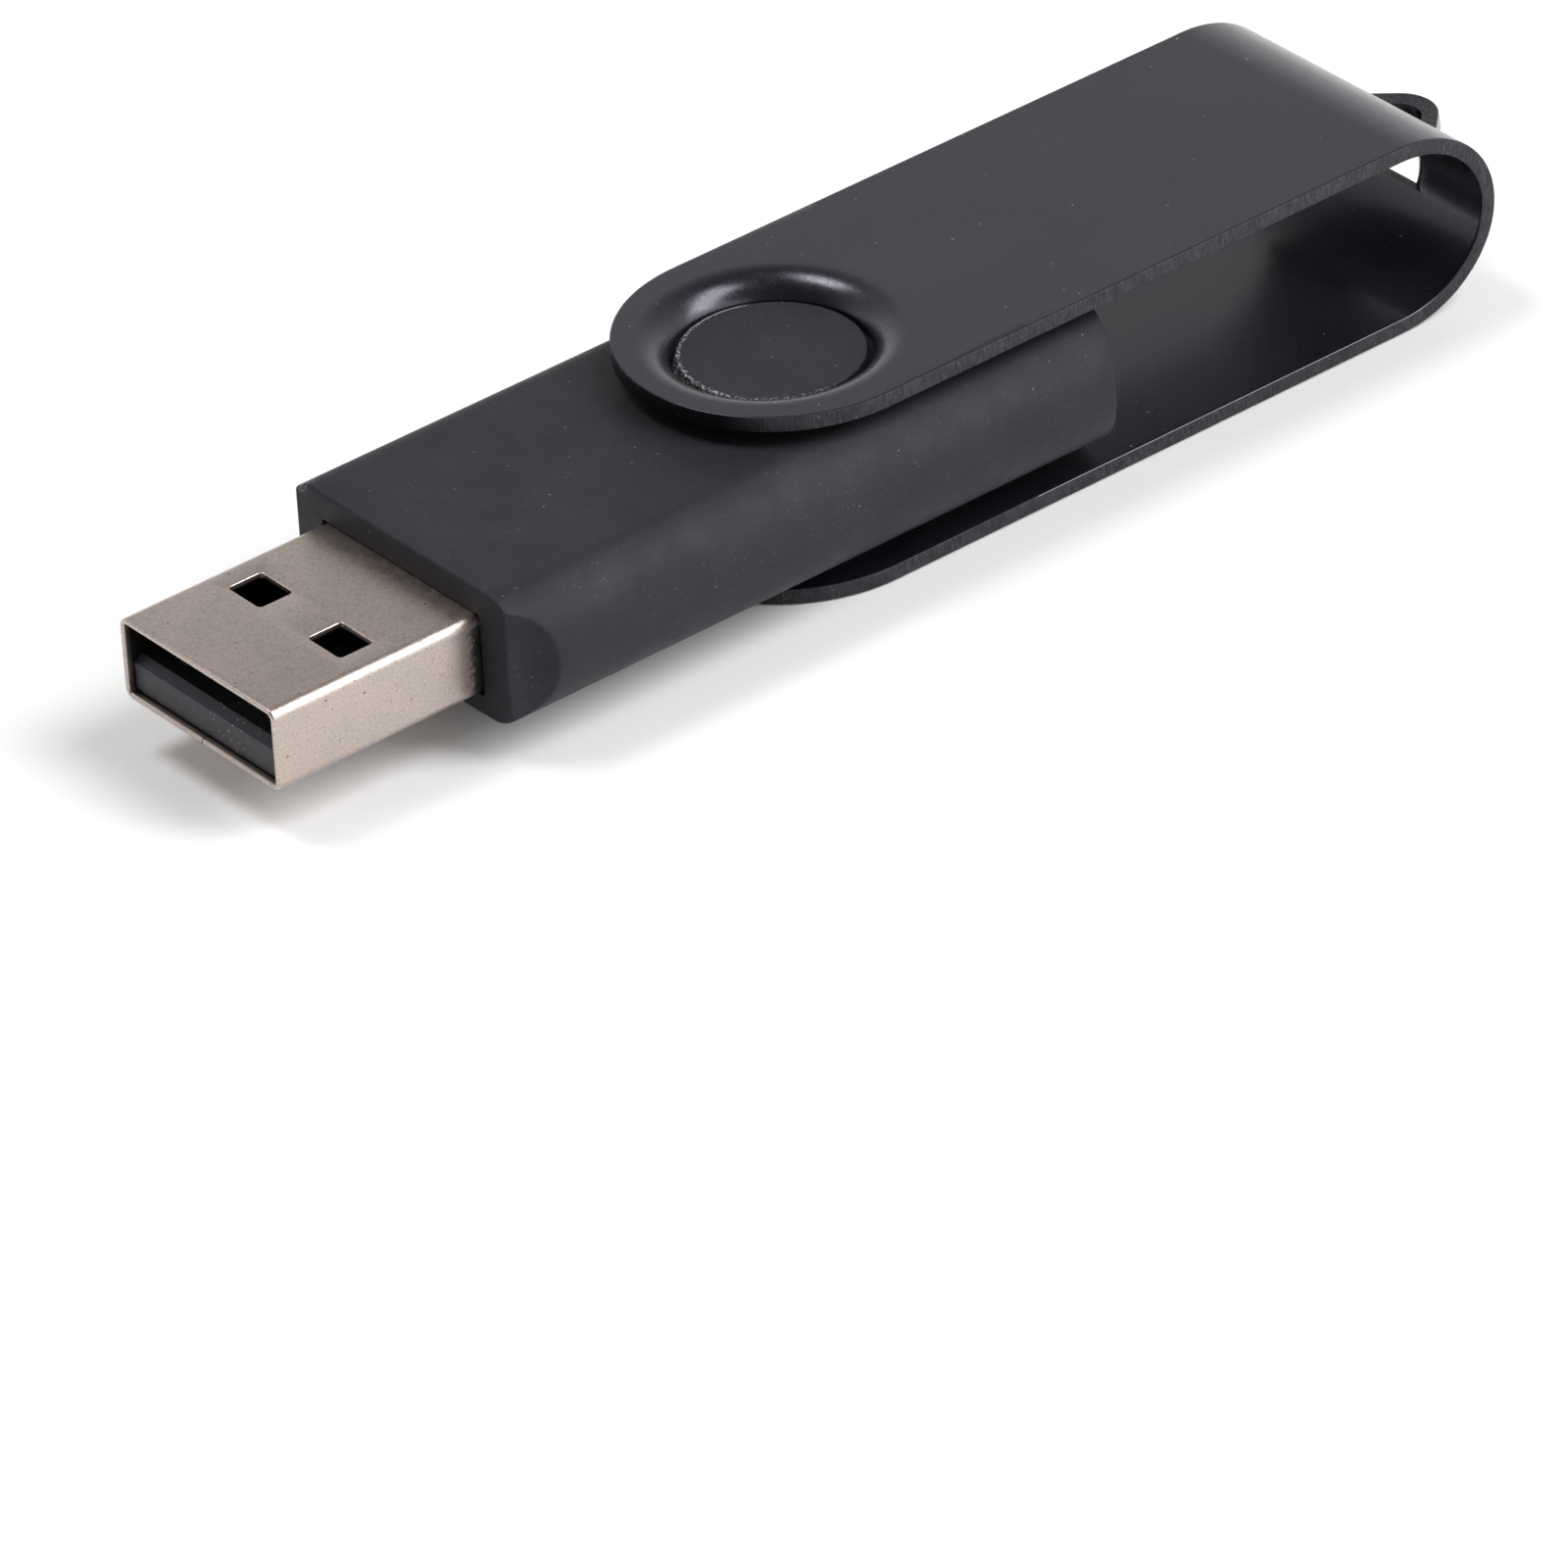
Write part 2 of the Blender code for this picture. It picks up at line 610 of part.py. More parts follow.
def circuit_board():
    front = PLUG_MOUTH + PLUG_LENGTH + BOARD_GAP
    plan = rounded_rectangle(front, BOARD_REAR, BOARD_WIDTH / 2, BOARD_CORNER)
    board = prism("circuit_board", plan, BOARD_TOP - BOARD_SHEET, BOARD_TOP, material="board_green")
    wall = PLUG_WIDTH / 2 - PLUG_SHEET / 2
    half = PLUG_SHEET / 2 + TAB_GAP
    for hand in (-1, 1):
        slot = box(
            f"tab_slot_{hand}",
            (front - OVERCUT, hand * wall - half, -FAR),
            (front + TAB_LENGTH, hand * wall + half, FAR))
        combine(board, slot)
    return board


def mounted(name, x, y, size, material, side=1):
    """A block soldered to the board's upper (1) or lower (-1) face."""
    face = BOARD_TOP if side > 0 else BOARD_TOP - BOARD_SHEET
    ends = sorted((face + side * BOARD_LIFT, face + side * (BOARD_LIFT + size[2])))
    low = (x - size[0] / 2, y - size[1] / 2, ends[0])
    high = (x + size[0] / 2, y + size[1] / 2, ends[1])
    return box(name, low, high, material)


def memory_chip():
    """A flat package with a row of flat leads along each short side."""
    chip = mounted("memory_chip", MEMORY_X, 0.0, MEMORY_SIZE, "chip_black")
    length, width, height = LEAD_SIZE
    for hand in (-1, 1):
        x = MEMORY_X + hand * (MEMORY_SIZE[0] / 2 + length / 2 - LEAD_ROOT)
        y = -LEAD_PITCH * (LEAD_COUNT - 1) / 2
        z = BOARD_TOP + BOARD_LIFT + LEAD_LIFT
        lead = box(
            f"memory_leads_{hand}",
            (x - length / 2, y - width / 2, z), (x + length / 2, y + width / 2, z + height))
        row = lead.modifiers.new("row", "ARRAY")
        row.count = LEAD_COUNT
        row.use_relative_offset = False
        row.use_constant_offset = True
        row.constant_offset_displace = (0.0, LEAD_PITCH, 0.0)
        combine(chip, lead, "UNION")
    return chip


SLOT = plug_slot()
RAIL_FRONT = PLUG_MOUTH + PLUG_LENGTH + TAB_LENGTH + RAIL_START_GAP
RAIL_REAR = BODY_REAR - WALL_REAR - RAIL_END_GAP

upper = housing_half("housing_top", 1)
add_cheeks(upper, 1)
add_rails(upper, 1, BOARD_TOP)
add_pins(upper, PIN_RADIUS, PIN_LENGTH, "UNION")
lower = housing_half("housing_bottom", -1)
add_cheeks(lower, -1)
add_rails(lower, -1, BOARD_TOP - BOARD_SHEET)
add_pins(lower, PIN_RADIUS + SOCKET_GAP, PIN_LENGTH + SOCKET_SPARE, "DIFFERENCE")
swivel_cover()

plug_shell()
insulator, contact_top, insulator_rear = plug_insulator()
for contact_name, (contact_y, contact_start) in CONTACTS.items():
    contact(contact_name, contact_y, contact_start, contact_top, insulator_rear)

circuit_board()
memory_chip()
round_edges(mounted(
    "controller_chip", CONTROLLER_X, 0.0, CONTROLLER_SIZE, "chip_black", -1), CONTROLLER_EDGE)
round_edges(mounted("crystal", *CRYSTAL_PLACE, CRYSTAL_SIZE, "crystal_steel"), CRYSTAL_EDGE)
for i, place in enumerate(CAPACITOR_PLACES, 1):
    capacitor = mounted(f"capacitor_{i}", *place, CAPACITOR_SIZE, "capacitor_tan")
    round_edges(capacitor, CAPACITOR_EDGE)
for i, place in enumerate(RESISTOR_PLACES, 1):
    resistor = mounted(f"resistor_{i}", *place, RESISTOR_SIZE, "resistor_black")
    round_edges(resistor, RESISTOR_EDGE)

for piece in PARTS.objects:
    if piece.type == "MESH":
        shade(piece)
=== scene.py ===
import json
import math

import bmesh
import bpy
from mathutils import Matrix, Vector, noise


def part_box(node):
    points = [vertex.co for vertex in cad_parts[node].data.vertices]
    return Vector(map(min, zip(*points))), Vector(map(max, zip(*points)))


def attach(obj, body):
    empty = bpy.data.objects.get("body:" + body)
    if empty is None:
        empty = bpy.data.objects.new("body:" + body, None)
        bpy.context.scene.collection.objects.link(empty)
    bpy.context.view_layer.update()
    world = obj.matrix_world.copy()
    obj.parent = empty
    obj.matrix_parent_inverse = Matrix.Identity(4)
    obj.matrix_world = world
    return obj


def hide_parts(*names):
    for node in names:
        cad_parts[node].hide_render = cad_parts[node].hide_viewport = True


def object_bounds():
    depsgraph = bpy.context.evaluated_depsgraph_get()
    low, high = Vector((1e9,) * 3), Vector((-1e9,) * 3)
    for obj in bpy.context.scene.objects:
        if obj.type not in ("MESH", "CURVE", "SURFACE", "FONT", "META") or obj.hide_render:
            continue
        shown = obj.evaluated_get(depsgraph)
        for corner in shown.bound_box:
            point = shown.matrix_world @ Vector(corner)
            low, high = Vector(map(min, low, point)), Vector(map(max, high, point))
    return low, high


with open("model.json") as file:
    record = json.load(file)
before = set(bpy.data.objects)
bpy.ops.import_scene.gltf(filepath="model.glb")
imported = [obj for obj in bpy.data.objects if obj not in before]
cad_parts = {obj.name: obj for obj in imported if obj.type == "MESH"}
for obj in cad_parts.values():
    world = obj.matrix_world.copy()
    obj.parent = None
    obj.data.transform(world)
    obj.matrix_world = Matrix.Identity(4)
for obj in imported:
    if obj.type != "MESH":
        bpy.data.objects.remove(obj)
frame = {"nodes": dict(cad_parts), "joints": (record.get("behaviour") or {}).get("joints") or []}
cad_low, cad_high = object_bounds()

# Lengths below are in millimetres, measured from the swivel axis at the drive's middle height.
# Pieces are modelled that way, and place_piece() turns them into metres in the frame.
MM = 0.001
AXIS = Vector(frame["joints"][0]["pos_m"])


def extent(node):
    """Lowest and highest corner of a CAD node, in millimetres from the swivel axis."""
    low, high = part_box(node)
    return (low - AXIS) / MM, (high - AXIS) / MM


body_low, body_high = extent("housing_top")
_, cover_high = extent("swivel_cover")
plug_low, plug_high = extent("plug_shell")

# Housing
BODY_FRONT = body_low.x
BODY_REAR = body_high.x
BODY_HALF_WIDTH = body_high.y
BODY_HALF_HEIGHT = 3.6
SIDE_RADIUS = 3.9            # bulge of the long sides
SIDE_CENTRE = BODY_HALF_WIDTH - SIDE_RADIUS
SHOULDER_RADIUS = {1: 1.6, -1: 2.4}      # between the bulge and the top or the bottom face
REAR_DEPTH = 2.9
REAR_HALF_WIDTH = 10.55
SCOOP_RADIUS = 4.25
SCOOP_X = -24.5
SCOOP_Y = 12.1
SCOOP_ROUNDING = 0.18        # of the upright edge between the flat front and a scoop
SEAM_Z = -0.2
SEAM_GAP = 0.008
HOUSING_ROUNDING = 0.16
FRONT_WALL = 1.3
REAR_WALL = 2.6
ROOF = 2.5                   # middle height to the inside of the flat wall
ROOF_ROUNDING = 0.4
CAVITY_HALF_WIDTH = 7.4
CAVITY_CORNER = 1.2
SLOT_GAP = 0.05              # round the plug
SLOT_CORNER = 0.2
SLOT_FLARE = 0.06
BOSS_RADIUS = 4.67
BOSS_ROOT = 3.1              # height inside the wall where a boss starts
BOSS_TOP = body_high.z
BOSS_ROUNDING = 0.10
BOSS_RAGGED_FROM = 3.4       # radius outside which a boss is uneven

# Swivel cover
COVER_HALF_WIDTH = cover_high.y
COVER_HALF_HEIGHT = cover_high.z
COVER_SHEET = 0.85
BEND_DEPTH = 6.2
BEND_END = 39.9              # outside of the bend
BEND_START = BEND_END - BEND_DEPTH
ARM_END_CENTRE = 0.55
COLLAR_RADIUS = 6.7          # where the pressed collar starts
COLLAR_ROLL = 1.85
COLLAR_ANGLE = math.radians(70)
EDGE_ROUNDING = 0.10
LOOP_TOP = 1.05
LOOP_BOTTOM = -1.45
LOOP_CROWN = 1.6 + COVER_SHEET / 2    # outer radius of the bow's crown
LOOP_LEAN = math.radians(47)
LOOP_REACH = cover_high.x
JOIN_X = 9.6                 # where an arm's round part meets the straight grid
COLUMNS = 96                 # across the strip
SLIT_COLUMNS = 24            # from the middle to a slit's end
ARM_ROWS = 28
BEND_ROWS = 30               # from an arm to the nearer slit
LOOP_ROWS = 12
RIM_STEPS = 36               # along each straight stretch of an arm's round part

# Plug
PLUG_MOUTH = plug_low.x
PLUG_REAR = plug_high.x
PLUG_Z = SEAM_Z
PLUG_HALF_WIDTH = plug_high.y
PLUG_HALF_HEIGHT = 2.25
PLUG_SHEET = 0.3
PLUG_CORNER = 0.55
PLUG_RIM = 0.11              # rounding of the mouth's two edges
WINDOW_SIZE = (2.0, 2.5)
WINDOW_CORNER = 0.22
WINDOW_FLARE = 0.07
WINDOW_PITCH = 6.2
WINDOW_X = PLUG_MOUTH + 6.3
TAB_LENGTH = 2.2             # of the two solder tabs at the rear
TAB_BOTTOM = -1.9
TAB_TOP = 0.4
FOLD_SEAM = 0.05             # width of the line where the tube's edges meet
DOVETAILS = (3.6, 9.4)       # from the mouth to each tab of that line
DOVETAIL_ROOT = 1.8
DOVETAIL_FLARE = 0.35
DOVETAIL_DEPTH = 1.1
BEYOND = 5.0                 # reach of a cutting tool past the plug's walls


# ---------------------------------------------------------------- camera

CAMERA_AZIMUTH = -37.857
CAMERA_ELEVATION = 32.924
CAMERA_ROLL = math.radians(-3.395)
CAMERA_DISTANCE = 0.60737    # in metres, as is the aim
CAMERA_AIM = (0.0004, -0.0174)           # sideways and upwards from the swivel axis


def direction(azimuth, elevation):
    """Unit vector towards an azimuth, in degrees from -Y towards +X, and an elevation."""
    turn = math.radians(azimuth)
    rise = math.radians(elevation)
    return Vector((
        math.sin(turn) * math.cos(rise), -math.cos(turn) * math.cos(rise), math.sin(rise)))


def add_camera():
    """A long lens, looking down on the plug's end from the left of the drive."""
    back = direction(CAMERA_AZIMUTH, CAMERA_ELEVATION)
    level = direction(CAMERA_AZIMUTH + 90.0, 0.0)
    upright = back.cross(level)
    right = level * math.cos(CAMERA_ROLL) + upright * math.sin(CAMERA_ROLL)
    up = upright * math.cos(CAMERA_ROLL) - level * math.sin(CAMERA_ROLL)
    data = bpy.data.cameras.new("camera")
    data.sensor_width = 36.0
    data.lens = 286.2
    data.clip_start = 0.01
    data.clip_end = 10.0
    camera = bpy.data.objects.new("camera", data)
    bpy.context.scene.collection.objects.link(camera)
    place = AXIS + back * CAMERA_DISTANCE + right * CAMERA_AIM[0] + up * CAMERA_AIM[1]
    camera.matrix_world = Matrix((
        (right.x, up.x, back.x, place.x),
        (right.y, up.y, back.y, place.y),
        (right.z, up.z, back.z, place.z),
        (0.0, 0.0, 0.0, 1.0)))
    bpy.context.scene.camera = camera


# ---------------------------------------------------------------- mesh tools

def spaced(low, high, steps):
    """Evenly spaced values, without the first."""
    return [low + (high - low) * i / steps for i in range(1, steps + 1)]


def add_piece(name, shape, materials):
    """A piece from a bmesh, still in millimetres."""
    mesh = bpy.data.meshes.new(name)
    shape.to_mesh(mesh)
    shape.free()
    for material in materials:
        mesh.materials.append(material)
    piece = bpy.data.objects.new(name, mesh)
    bpy.context.scene.collection.objects.link(piece)
    return piece


def place_piece(piece, body, node):
    """Puts a finished piece in the frame, where it stands for a CAD node."""
    piece.data.transform(Matrix.Translation(AXIS) @ Matrix.Scale(MM, 4))
    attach(piece, body)
    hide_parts(node)
    return piece


def finish_mesh(piece, sharp=40.0):
    """Turns a piece's modifiers into mesh and shades it smooth up to an angle."""
    bpy.context.view_layer.update()
    shown = piece.evaluated_get(bpy.context.evaluated_depsgraph_get())
    mesh = bpy.data.meshes.new_from_object(shown)
    piece.modifiers.clear()
    old = piece.data
    piece.data = mesh
    bpy.data.meshes.remove(old)
    mesh.name = piece.name
    mesh.shade_smooth()
    mesh.set_sharp_from_angle(angle=math.radians(sharp))


def combine(piece, tool, operation):
    """A Boolean with a helper object, which is then removed."""
    modifier = piece.modifiers.new(operation.lower(), "BOOLEAN")
    modifier.operation = operation
    modifier.object = tool
    modifier.solver = "EXACT"
    finish_mesh(piece)
    data = tool.data
    bpy.data.objects.remove(tool)
    bpy.data.meshes.remove(data)


def thicken(piece, thickness, rim_material):
    """Gives an open surface a thickness inwards, with a material of its own on the rim."""
    modifier = piece.modifiers.new("wall", "SOLIDIFY")
    modifier.thickness = thickness
    modifier.offset = -1.0
    modifier.use_even_offset = True
    modifier.use_quality_normals = True
    modifier.material_offset_rim = rim_material


def round_weighted(piece, width):
    """Rounds the edges that carry a bevel weight."""
    modifier = piece.modifiers.new("rounding", "BEVEL")
    modifier.width = width
    modifier.segments = 3
    modifier.limit_method = "WEIGHT"
    modifier.use_clamp_overlap = False


def add_face(shape, corners):
    """A face without its repeated vertices, if it still has an area."""
    kept = list(dict.fromkeys(corners))
    if len(kept) > 2:
        shape.faces.new(kept)


def rounded_outline(half_u, half_v, radius, steps):
    """A rectangle with round corners, counter-clockwise."""
    points = []
    corners = ((1, 1, 0.0), (-1, 1, 0.5), (-1, -1, 1.0), (1, -1, 1.5))
    for sign_u, sign_v, turn in corners:
        for i in range(steps + 1):
            angle = math.pi * (turn + 0.5 * i / steps)
            points.append((
                sign_u * (half_u - radius) + radius * math.cos(angle),
                sign_v * (half_v - radius) + radius * math.sin(angle)))
    return points


def loft_tool(outlines, place):
    """A closed solid through (height, outline) pairs; place() makes points of u, v and height."""
    shape = bmesh.new()
    rings = [[shape.verts.new(place(u, v, height)) for u, v in line] for height, line in outlines]
    for ring, after in zip(rings, rings[1:]):
        for corners in zip(ring, ring[1:] + ring[:1], after[1:] + after[:1], after):
            shape.faces.new(corners)
    shape.faces.new(rings[0][::-1])
    shape.faces.new(rings[-1])
    bmesh.ops.recalc_face_normals(shape, faces=shape.faces)
    return add_piece("tool", shape, [])


def flared(half_u, half_v, radius, flare, surface, outside, inside):
    """Outlines of a cut that widens in a small round where it meets a surface."""
    inwards = math.copysign(flare, inside - surface)
    stations = [(outside, flare), (surface, flare)]
    for turn in spaced(0.0, math.pi / 2, 4):
        stations.append((surface + inwards * (1 - math.cos(turn)), flare * (1 - math.sin(turn))))
    stations.append((inside, 0.0))
    return [
        (height, rounded_outline(half_u + grow, half_v + grow, radius + grow, 6))
        for height, grow in stations]


def grid_faces(shape, grid):
    """Quads between neighbouring rows of vertices."""
    for row, after in zip(grid, grid[1:]):
        for corners in zip(row, after, after[1:], row[1:]):
            shape.faces.new(corners)


def face_outwards(shape):
    """Turns every face of an open surface outwards, given that its highest one looks up."""
    bmesh.ops.recalc_face_normals(shape, faces=shape.faces)
    highest = max(shape.faces, key=lambda face: face.calc_center_median().z)
    if highest.normal.z < 0:
        bmesh.ops.reverse_faces(shape, faces=shape.faces)


# ---------------------------------------------------------------- housing

def scoop_edge():
    """Centre of the small round between the front and a scoop, and where it meets the scoop."""
    x = BODY_FRONT + SCOOP_ROUNDING
    reach = SCOOP_RADIUS + SCOOP_ROUNDING
    y = SCOOP_Y - math.sqrt(reach ** 2 - (x - SCOOP_X) ** 2)
    return x, y, SCOOP_Y + (y - SCOOP_Y) * SCOOP_RADIUS / reach


EDGE_X, EDGE_Y, EDGE_MEETS_Y = scoop_edge()


def front_x(y):
    """Front end of the housing's plan: flat, with a hollow at each corner."""
    reach = abs(y)
    if reach <= EDGE_Y:
        return BODY_FRONT
    if reach <= EDGE_MEETS_Y:
        return EDGE_X - math.sqrt(max(0.0, SCOOP_ROUNDING ** 2 - (reach - EDGE_Y) ** 2))
    return SCOOP_X + math.sqrt(SCOOP_RADIUS ** 2 - (reach - SCOOP_Y) ** 2)


def rear_x(y):
    """Rear end of the housing's plan: part of an ellipse."""
    return BODY_REAR - REAR_DEPTH + REAR_DEPTH * math.sqrt(1 - (y / REAR_HALF_WIDTH) ** 2)


def half_section(side, seam, inset):
    """Half of the housing's cross-section as (y, z), from the parting line to the middle."""
    radius = SIDE_RADIUS - inset
    shoulder = SHOULDER_RADIUS[side]
    shoulder_z = BODY_HALF_HEIGHT - shoulder
    shoulder_y = SIDE_CENTRE + math.sqrt((SIDE_RADIUS - shoulder) ** 2 - shoulder_z ** 2)
    meet = math.atan2(shoulder_z, shoulder_y - SIDE_CENTRE)
    start = math.asin(seam / radius)
    small = shoulder - inset
    widest = SIDE_CENTRE + radius * math.cos(start)

    def height(y):
        if y > SIDE_CENTRE + radius * math.cos(meet):
            return math.sqrt(radius ** 2 - (y - SIDE_CENTRE) ** 2)
        return shoulder_z + math.sqrt(max(0.0, small ** 2 - max(0.0, y - shoulder_y) ** 2))

    points = [(widest, seam)]
    scoop_turn = math.acos((EDGE_MEETS_Y - SIDE_CENTRE) / radius)
    for turn in spaced(abs(start), scoop_turn, 18):
        y = SIDE_CENTRE + radius * math.cos(turn)
        low_part = y > SIDE_CENTRE + radius * math.cos(meet)
        points.append((y, radius * math.sin(turn) if low_part else height(y)))
    for y in spaced(EDGE_MEETS_Y, EDGE_Y, 6) + spaced(EDGE_Y, shoulder_y + 0.1, 10):
        points.append((y, height(y)))
    return points + [(y, height(y)) for y in spaced(shoulder_y + 0.1, 0.0, 20)]


def housing_solid(side):
    """The outside of one half shell as a closed solid, with rounded ends and a flat parting."""
    seam = side * SEAM_Z + SEAM_GAP / 2
    shape = bmesh.new()
    quarter = [0.0] + spaced(0.0, math.pi / 2, 5)
    plan = [("front", turn) for turn in quarter]
    plan += [("between", share) for share in spaced(0.0, 1.0, 26)[:-1]]
    plan += [("rear", turn) for turn in reversed(quarter)]
    rings = []
    for zone, value in plan:
        turn = math.pi / 2 if zone == "between" else value
        half = half_section(side, seam, HOUSING_ROUNDING * (1 - math.sin(turn)))
        setback = HOUSING_ROUNDING * (1 - math.cos(turn))
        ring = []
        for y, z in half + [(-y, z) for y, z in reversed(half[:-1])]:
            start = front_x(y) + setback
            end = rear_x(y) - setback
            x = {"front": start, "rear": end, "between": start + (end - start) * value}[zone]
            ring.append(shape.verts.new((x, y, side * z)))
        rings.append(ring)
    grid_faces(shape, rings)

    feet = []
    for ring in (rings[0], rings[-1]):
        widest = abs(ring[0].co.y)
        foot = []
        for vert in ring:
            corner = ring[0] if vert.co.y > 0 else ring[-1]
            if abs(vert.co.y) > widest - 0.00001:
                foot.append(corner)
            else:
                foot.append(shape.verts.new((vert.co.x, vert.co.y, side * seam)))
        for corners in zip(ring, ring[1:], foot[1:], foot):
            add_face(shape, corners)
        feet.append(foot)
    left = [ring[-1] for ring in rings]
    right = [ring[0] for ring in reversed(rings)]
    add_face(shape, feet[0] + left + feet[1][::-1] + right)
    bmesh.ops.recalc_face_normals(shape, faces=shape.faces)
    return shape


def cavity_tool(side):
    """The hollow of one half shell, open at the parting line."""
    front = BODY_FRONT + FRONT_WALL
    rear = BODY_REAR - REAR_WALL
    middle = (front + rear) / 2
    half_length = (rear - front) / 2
    stations = [
        (-2.0, 0.0), (ROOF - ROOF_ROUNDING, 0.0),
        (ROOF - 0.3 * ROOF_ROUNDING, 0.3 * ROOF_ROUNDING), (ROOF, ROOF_ROUNDING)]
    outlines = []
    for height, shrink in stations:
        outlines.append((height, rounded_outline(
            half_length - shrink, CAVITY_HALF_WIDTH - shrink, CAVITY_CORNER - shrink / 2, 6)))
    return loft_tool(outlines, lambda u, v, w: (middle + u, v, side * w))


def slot_tool():
    """The plug's slot in the front wall."""
    outlines = flared(
        PLUG_HALF_WIDTH + SLOT_GAP, PLUG_HALF_HEIGHT + SLOT_GAP, SLOT_CORNER,
        SLOT_FLARE, BODY_FRONT, BODY_FRONT - 1.0, BODY_FRONT + FRONT_WALL + 1.0)
    return loft_tool(outlines, lambda u, v, w: (w, u, v + PLUG_Z))


def ragged_boss(side):
    """The boss whose face shows in the cover's collar, with a trimmed, slightly ragged rim.

    Fine nicks roughen its radius and broad dents lift its face, both growing towards the rim.
    """
    shape = bmesh.new()
    steps = 256
    rim_z = BOSS_TOP - BOSS_ROUNDING
    profile = [(BOSS_RADIUS, z) for z in (BOSS_ROOT, BOSS_ROOT + 0.7, rim_z)]
    for turn in spaced(0.0, math.pi / 2, 4):
        profile.append((
            BOSS_RADIUS - BOSS_ROUNDING * (1 - math.cos(turn)), rim_z + BOSS_ROUNDING * math.sin(turn)))
    profile += [(radius, BOSS_TOP) for radius in (4.42, 4.2, 3.8, 3.2, 2.2, 1.0)]
    rings = []
    for radius, z in profile:
        near_rim = max(0.0, (radius - BOSS_RAGGED_FROM) / (BOSS_RADIUS - BOSS_RAGGED_FROM))
        on_face = z > rim_z - 0.01
        ring = []
        for i in range(steps):
            angle = 2 * math.pi * i / steps
            place = Vector((math.cos(angle), math.sin(angle), side * 3.0))
            nick = noise.noise(place * 38.0) * 0.035 + noise.noise(place * 90.0) * 0.02
            dent = noise.noise(place * 2.2) * 0.025 + noise.noise(place * 6.0) * 0.0125
            r = radius + nick * near_rim ** 6
            lift = dent * near_rim ** 3 if on_face else 0.0
            ring.append(shape.verts.new((
                r * math.cos(angle), r * math.sin(angle), side * (z + lift))))
        rings.append(ring + ring[:1])
    grid_faces(shape, rings)
    shape.faces.new(rings[-1][:-1])
    shape.faces.new(rings[0][:-1][::-1])
    bmesh.ops.recalc_face_normals(shape, faces=shape.faces)
    return add_piece("boss_tool", shape, [])


def housing_half(side, name, node, material):
    """One half shell: the upper one where side is 1, the lower one where it is -1."""
    shell = add_piece(name, housing_solid(side), [material])
    combine(shell, cavity_tool(side), "DIFFERENCE")
    combine(shell, slot_tool(), "DIFFERENCE")
    combine(shell, ragged_boss(side), "UNION")
    return place_piece(shell, "housing", node)


# ---------------------------------------------------------------- swivel cover

def bow(y):
    """How far the key-ring strip stands out of the bend, from above."""
    reach = abs(y)
    centre = LOOP_REACH - LOOP_CROWN - BEND_END
    crown_y = LOOP_CROWN * math.sin(LOOP_LEAN)
    crown_x = centre + LOOP_CROWN * math.cos(LOOP_LEAN)
    foot = crown_y + crown_x / math.tan(LOOP_LEAN)
    root = SLIT_COLUMNS * 2 * COVER_HALF_WIDTH / COLUMNS
    tangent = root - foot
    fillet = tangent / math.tan(LOOP_LEAN / 2)
    if reach <= crown_y:
        return centre + math.sqrt(LOOP_CROWN ** 2 - reach ** 2)
    if reach <= foot - tangent * math.cos(LOOP_LEAN):
        return (foot - reach) * math.tan(LOOP_LEAN)
    if reach < root:
        return fillet - math.sqrt(fillet ** 2 - (root - reach) ** 2)
    return 0.0


def arm_rim():
    """Outline of an arm's round part as (x, y), from one end of the joint line to the other."""
    radius = COVER_HALF_WIDTH
    side = [(x, radius) for x in spaced(JOIN_X, ARM_END_CENTRE, RIM_STEPS)]
    end = [
        (ARM_END_CENTRE + radius * math.cos(angle), radius * math.sin(angle))
        for angle in spaced(math.pi / 2, 3 * math.pi / 2, 120)]
    back = [(x, -radius) for x in spaced(ARM_END_CENTRE, JOIN_X, RIM_STEPS)[:-1]]
    return side + end + back


def round_arm(shape, side, joint_row):
    """One arm's end: rings from its outline to the collar, and down the collar's roll."""
    outer = list(joint_row) + [
        shape.verts.new((x, y, side * COVER_HALF_HEIGHT)) for x, y in arm_rim()]
    rings = [outer]
    for share in (0.86, 0.7, 0.5, 0.3, 0.12, 0.0):
        ring = []
        for vert in outer:
            flat = Vector((vert.co.x, vert.co.y, 0.0))
            inner = flat.normalized() * COLLAR_RADIUS
            point = inner.lerp(flat, share)
            point.z = side * COVER_HALF_HEIGHT
            ring.append(shape.verts.new(point))
        rings.append(ring)
    for angle in spaced(0.0, COLLAR_ANGLE, 14):
        radius = COLLAR_RADIUS - COLLAR_ROLL * math.sin(angle)
        drop = COLLAR_ROLL * (1 - math.cos(angle))
        ring = []
        for vert in outer:
            point = Vector((vert.co.x, vert.co.y, 0.0)).normalized() * radius
            point.z = side * (COVER_HALF_HEIGHT - drop)
            ring.append(shape.verts.new(point))
        rings.append(ring)
    for ring, after in zip(rings, rings[1:]):
        for corners in zip(ring, ring[1:] + ring[:1], after[1:] + after[:1], after):
            shape.faces.new(corners)


